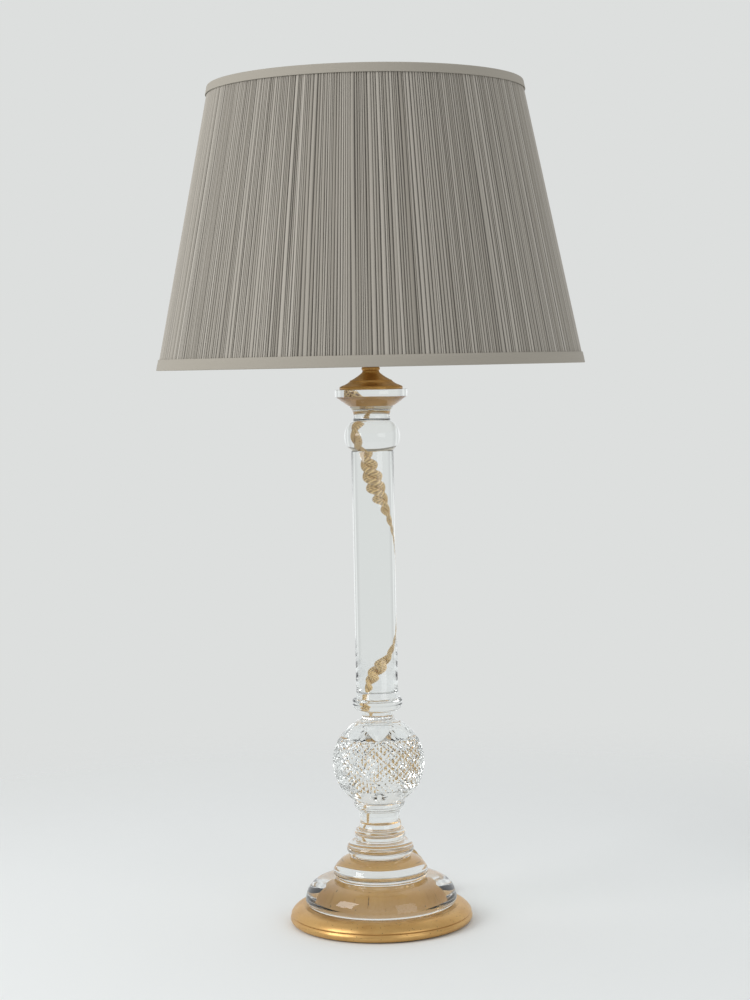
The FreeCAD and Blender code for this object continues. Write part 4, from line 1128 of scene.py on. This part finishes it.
@dataclass
class Flex:
    """The twisted two-strand flex: it hangs behind the glass and ends in a coil behind the foot."""

    diameter: float = 7.2
    strand_radius: float = 1.95
    strand_offset: float = 1.65
    lay: float = 25.0
    sides: int = 10
    spacing: float = 1.5
    coil_points: int = 24           # in one turn
    coil_radius: float = 46.0
    coil_pitch: float = 7.7
    coil_turns: float = 4.5
    coil_centre: Point = (-12.0, 150.0)
    coil_start: float = -92.0
    coil_low: float = 4.5
    entry: tuple[Spot, ...] = ((0.0, 25.98, 612.0), (0.0, 46.77, 600.0))
    hanging: tuple[Spot, ...] = (
        (1.0, 54.8, 591.3), (2.8, 58.8, 576.5), (5.0, 56.0, 556.0), (5.5, 49.5, 532.0),
        (4.0, 44.0, 508.0), (0.8, 41.0, 484.0), (-2.6, 40.5, 460.0), (-6.5, 37.5, 436.0),
        (-13.5, 30.5, 413.0), (-17.9, 22.8, 388.0), (-18.2, 20.6, 354.0), (-17.2, 22.6, 328.0),
        (-11.8, 32.0, 303.0), (-4.5, 40.0, 281.0), (1.5, 43.5, 258.0), (7.5, 48.5, 234.0),
        (12.5, 57.0, 206.0), (15.3, 62.0, 174.0), (15.5, 61.6, 140.0), (17.0, 61.5, 108.0),
        (21.5, 64.5, 84.0), (29.0, 72.5, 66.5), (38.0, 83.0, 52.5), (46.8, 95.7, 39.6),
        (46.5, 105.1, 26.4), (38.9, 110.7, 14.5), (26.1, 111.7, 6.5), (10.5, 107.7, 4.5),
        (-3.0, 104.1, 4.5),
    )
    tail: tuple[Spot, ...] = (
        (3.6, 195.5, 12.2), (18.0, 194.9, 11.4), (31.0, 193.8, 10.2), (42.1, 191.2, 8.9),
        (51.5, 185.3, 7.8), (57.7, 176.4, 7.1), (60.0, 166.0, 6.85), (60.0, 160.0, 6.85),
    )

    def build(self) -> None:
        path = self.centreline()
        mesh = bmesh.new()
        uv = mesh.loops.layers.uv.new("strand")
        for strand in range(2):
            self.strand(mesh, uv, path, math.pi * strand)
        for face in mesh.faces:
            face.smooth = True
        piece = add_object("twisted_flex", mesh, Stuff.BRAID, "lamp")
        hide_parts("cord_drop", "cord_coil", "cord_tail")
        length = sum((b - a).length for a, b in zip(path, path[1:]))
        LOG.info("flex: %.3f m", length)

    def coil(self) -> list[Spot]:
        """The coil's points: two layers that spiral in, climb, and spiral out again.

        Returns:
            The points in millimetres.
        """
        full = 360.0 * self.coil_turns
        count = round(self.coil_turns * self.coil_points)
        spots = []
        for step in range(count + 1):
            angle = full * step / count
            inward = min(angle, full - angle) / 360.0
            climb = min(max((angle - full / 2) / 180.0 + 0.5, 0.0), 1.0)
            height = self.coil_low + self.coil_pitch * climb * climb * (3 - 2 * climb)
            radius = self.coil_radius - self.coil_pitch * inward
            turn = math.radians(self.coil_start - angle)
            spots.append((self.coil_centre[0] + radius * math.cos(turn),
                          self.coil_centre[1] + radius * math.sin(turn), height))
        return spots

    def centreline(self) -> list[Vector]:
        """Lay the route as one smooth line.

        Returns:
            Close points along it, in metres.
        """
        route = [*self.entry, *self.hanging, *self.coil(), *self.tail]
        curve = bpy.data.curves.new("flex_route", "CURVE")
        curve.dimensions = "3D"
        spline = curve.splines.new("NURBS")
        spline.points.add(len(route) - 1)
        for point, spot in zip(spline.points, route):
            point.co = (*(amount * MM for amount in spot), 1.0)
        spline.order_u = 3
        spline.use_endpoint_u = True
        spline.resolution_u = 10
        carrier = bpy.data.objects.new("flex_route", curve)
        data = bpy.data.meshes.new_from_object(carrier)
        line = [vert.co.copy() for vert in data.vertices]
        bpy.data.objects.remove(carrier)
        bpy.data.curves.remove(curve)
        bpy.data.meshes.remove(data)
        return self.even(line, self.spacing * MM)

    @staticmethod
    def even(line: list[Vector], step: float) -> list[Vector]:
        """Space a line's points evenly.

        Args:
            line: Its points.
            step: The wanted distance between points.

        Returns:
            The new points.
        """
        total = sum((b - a).length for a, b in zip(line, line[1:]))
        count = max(2, round(total / step))
        pace, left, spots = total / count, 0.0, [line[0].copy()]
        for start, end in zip(line, line[1:]):
            run = (end - start).length
            while left + run >= pace and len(spots) < count:
                share = (pace - left) / run
                start = start.lerp(end, share)
                spots.append(start.copy())
                run = (end - start).length
                left = 0.0
            left += run
        spots.append(line[-1].copy())
        return spots

    def strand(self, mesh: bmesh.types.BMesh, uv: bmesh.types.BMLayerItem, path: list[Vector],
               phase: float) -> None:
        """Sweep one strand round the flex's centreline.

        Args:
            mesh: The mesh it goes into.
            uv: The layer that holds the strand's map: turns round it, and metres along it.
            path: The flex's centreline.
            phase: Where round the flex the strand starts.
        """
        side = Vector((1, 0, 0))
        along, before = 0.0, path[0]
        spots = []
        for number, point in enumerate(path):
            ahead = path[min(number + 1, len(path) - 1)] - path[max(number - 1, 0)]
            ahead.normalize()
            side = (side - ahead * side.dot(ahead)).normalized()
            across = ahead.cross(side)
            along += (point - before).length
            before = point
            turn = phase + 2 * math.pi * along / (self.lay * MM)
            spots.append(point + (side * math.cos(turn) + across * math.sin(turn)) * self.strand_offset * MM)
        rows = grid(mesh, self.sides, len(spots) - 1)
        side = Vector((1, 0, 0))
        for number, (row, spot) in enumerate(zip(rows, spots)):
            heading = spots[min(number + 1, len(spots) - 1)] - spots[max(number - 1, 0)]
            heading.normalize()
            side = (side - heading * side.dot(heading)).normalized()
            across = heading.cross(side)
            for column, vert in enumerate(row):
                angle = 2 * math.pi * column / self.sides
                vert.co = spot + (side * math.cos(angle) + across * math.sin(angle)) * self.strand_radius * MM
        for face in {face for row in rows for vert in row for face in vert.link_faces}:
            for loop in face.loops:
                loop[uv].uv.y *= along
        close_seam(mesh, rows)
        bmesh.ops.holes_fill(mesh, edges=[edge for edge in mesh.edges if edge.is_boundary], sides=0)


@dataclass
class Studio:
    """A pale sweep, soft daylight from the left, and the photograph's camera.

    Distances are metres and angles are degrees. Each of `walls` is how far to the side a look goes and how
    bright the room is there; the first two are the ends of the ramp, and the dark bands give the glass its
    edges.
    """

    sensor: float = 36.0            # millimetres, upright
    lens: float = 75.6              # millimetres
    distance: float = 2.253
    eye: float = 0.6047
    down: float = 3.72
    roll: float = 1.15
    aside: float = 0.0018
    floor_radius: float = 1.6
    aim: Spot = (0.0, 0.0, 0.5)
    lights: tuple[tuple[str, Spot, float, float], ...] = (      # name, place, width, watts
        ("window", (-2.3, -1.3, 1.7), 1.5, 44.0),
        ("fill", (1.9, -2.3, 1.3), 1.7, 16.0),
    )
    daylight: str = "#F4F6F8"
    backdrop: str = "#DDDFDE"
    glow: float = 1.6
    walls: tuple[Point, ...] = (
        (0.0, 0.625), (1.0, 0.85), (0.55, 0.625), (0.70, 0.52), (0.80, 0.75), (0.88, 0.46), (0.95, 0.95),
    )

    def build(self) -> None:
        """Set the sweep, the light and the camera."""
        self.floor()
        self.light()
        self.camera()
        bpy.context.scene.view_settings.view_transform = "Standard"

    def floor(self) -> None:
        """Lay the pale sweep that the lamp stands on."""
        mesh = bmesh.new()
        bmesh.ops.create_circle(mesh, cap_ends=True, segments=96, radius=self.floor_radius)
        data = use_up("paper_floor", mesh)
        data.materials.append(Stuff.SWEEP.material())
        sweep = bpy.data.objects.new("paper_floor", data)
        bpy.context.scene.collection.objects.link(sweep)

    def light(self) -> None:
        """A soft world, a large window at the left and a weaker fill."""
        world = bpy.data.worlds.new("daylight_room")
        world.use_nodes = True
        tree = world.node_tree
        tree.nodes.clear()
        ray = add_node(tree, "ShaderNodeLightPath")
        heading = add_node(tree, "ShaderNodeTexCoord").outputs["Generated"]
        axes = add_node(tree, "ShaderNodeSeparateXYZ", {"Vector": heading})
        room = add_node(tree, "ShaderNodeMapRange", {
            "Value": axes.outputs["Y"], "From Min": -0.35, "From Max": 0.65, "To Min": 0.52, "To Max": 0.95,
        }, interpolation_type="SMOOTHSTEP")
        aside = add_node(tree, "ShaderNodeMath", {0: axes.outputs["X"]}, operation="ABSOLUTE")
        walls = add_node(tree, "ShaderNodeValToRGB", {"Fac": aside.outputs[0]})
        for number, (place, level) in enumerate(self.walls):
            stop = walls.color_ramp.elements[number] if number < 2 else walls.color_ramp.elements.new(place)
            stop.position = place
            stop.color = (level, level, level, 1.0)
        glow = add_node(tree, "ShaderNodeMath", {
            0: walls.outputs["Color"], 1: self.glow,
        }, operation="MULTIPLY")
        soft = add_node(tree, "ShaderNodeBackground", {
            "Color": srgb(self.daylight), "Strength": room.outputs["Result"],
        })
        seen = add_node(tree, "ShaderNodeBackground", {
            "Color": srgb(self.backdrop), "Strength": glow.outputs[0],
        })
        straight = add_node(tree, "ShaderNodeMath", {
            0: ray.outputs["Is Camera Ray"], 1: ray.outputs["Is Transmission Ray"],
        }, operation="MAXIMUM")
        mix = add_node(tree, "ShaderNodeMixShader", {
            0: straight.outputs[0], 1: soft.outputs[0], 2: seen.outputs[0],
        })
        add_node(tree, "ShaderNodeOutputWorld", {"Surface": mix.outputs[0]})
        bpy.context.scene.world = world
        for name, place, size, power in self.lights:
            lamp = bpy.data.lights.new(name, "AREA")
            lamp.shape = "RECTANGLE"
            lamp.size, lamp.size_y = size, size * 1.2
            lamp.energy = power
            piece = bpy.data.objects.new(name, lamp)
            piece.location = place
            aim = Vector(self.aim) - Vector(place)
            piece.rotation_euler = aim.to_track_quat("-Z", "Y").to_euler()
            bpy.context.scene.collection.objects.link(piece)

    def camera(self) -> None:
        """Stand the camera where the photograph was taken."""
        lens = bpy.data.cameras.new("camera")
        lens.sensor_fit = "VERTICAL"
        lens.sensor_height = self.sensor
        lens.lens = self.lens
        camera = bpy.data.objects.new("camera", lens)
        tilt = Matrix.Rotation(math.radians(90 - self.down), 4, "X")
        lean = Matrix.Rotation(math.radians(-self.roll), 4, "Z")
        camera.matrix_world = Matrix.Translation((self.aside, -self.distance, self.eye)) @ tilt @ lean
        bpy.context.scene.collection.objects.link(camera)
        bpy.context.scene.camera = camera


def main() -> None:
    """Build the lamp piece by piece."""
    logging.basicConfig(level=logging.INFO, format="%(message)s")
    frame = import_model()
    Plinth().build()
    Candlestick().build()
    Cap().build()
    Fittings().build(frame["nodes"])
    Shade().build()
    Flex().build()
    Studio().build()


if __name__ == "__main__":
    main()
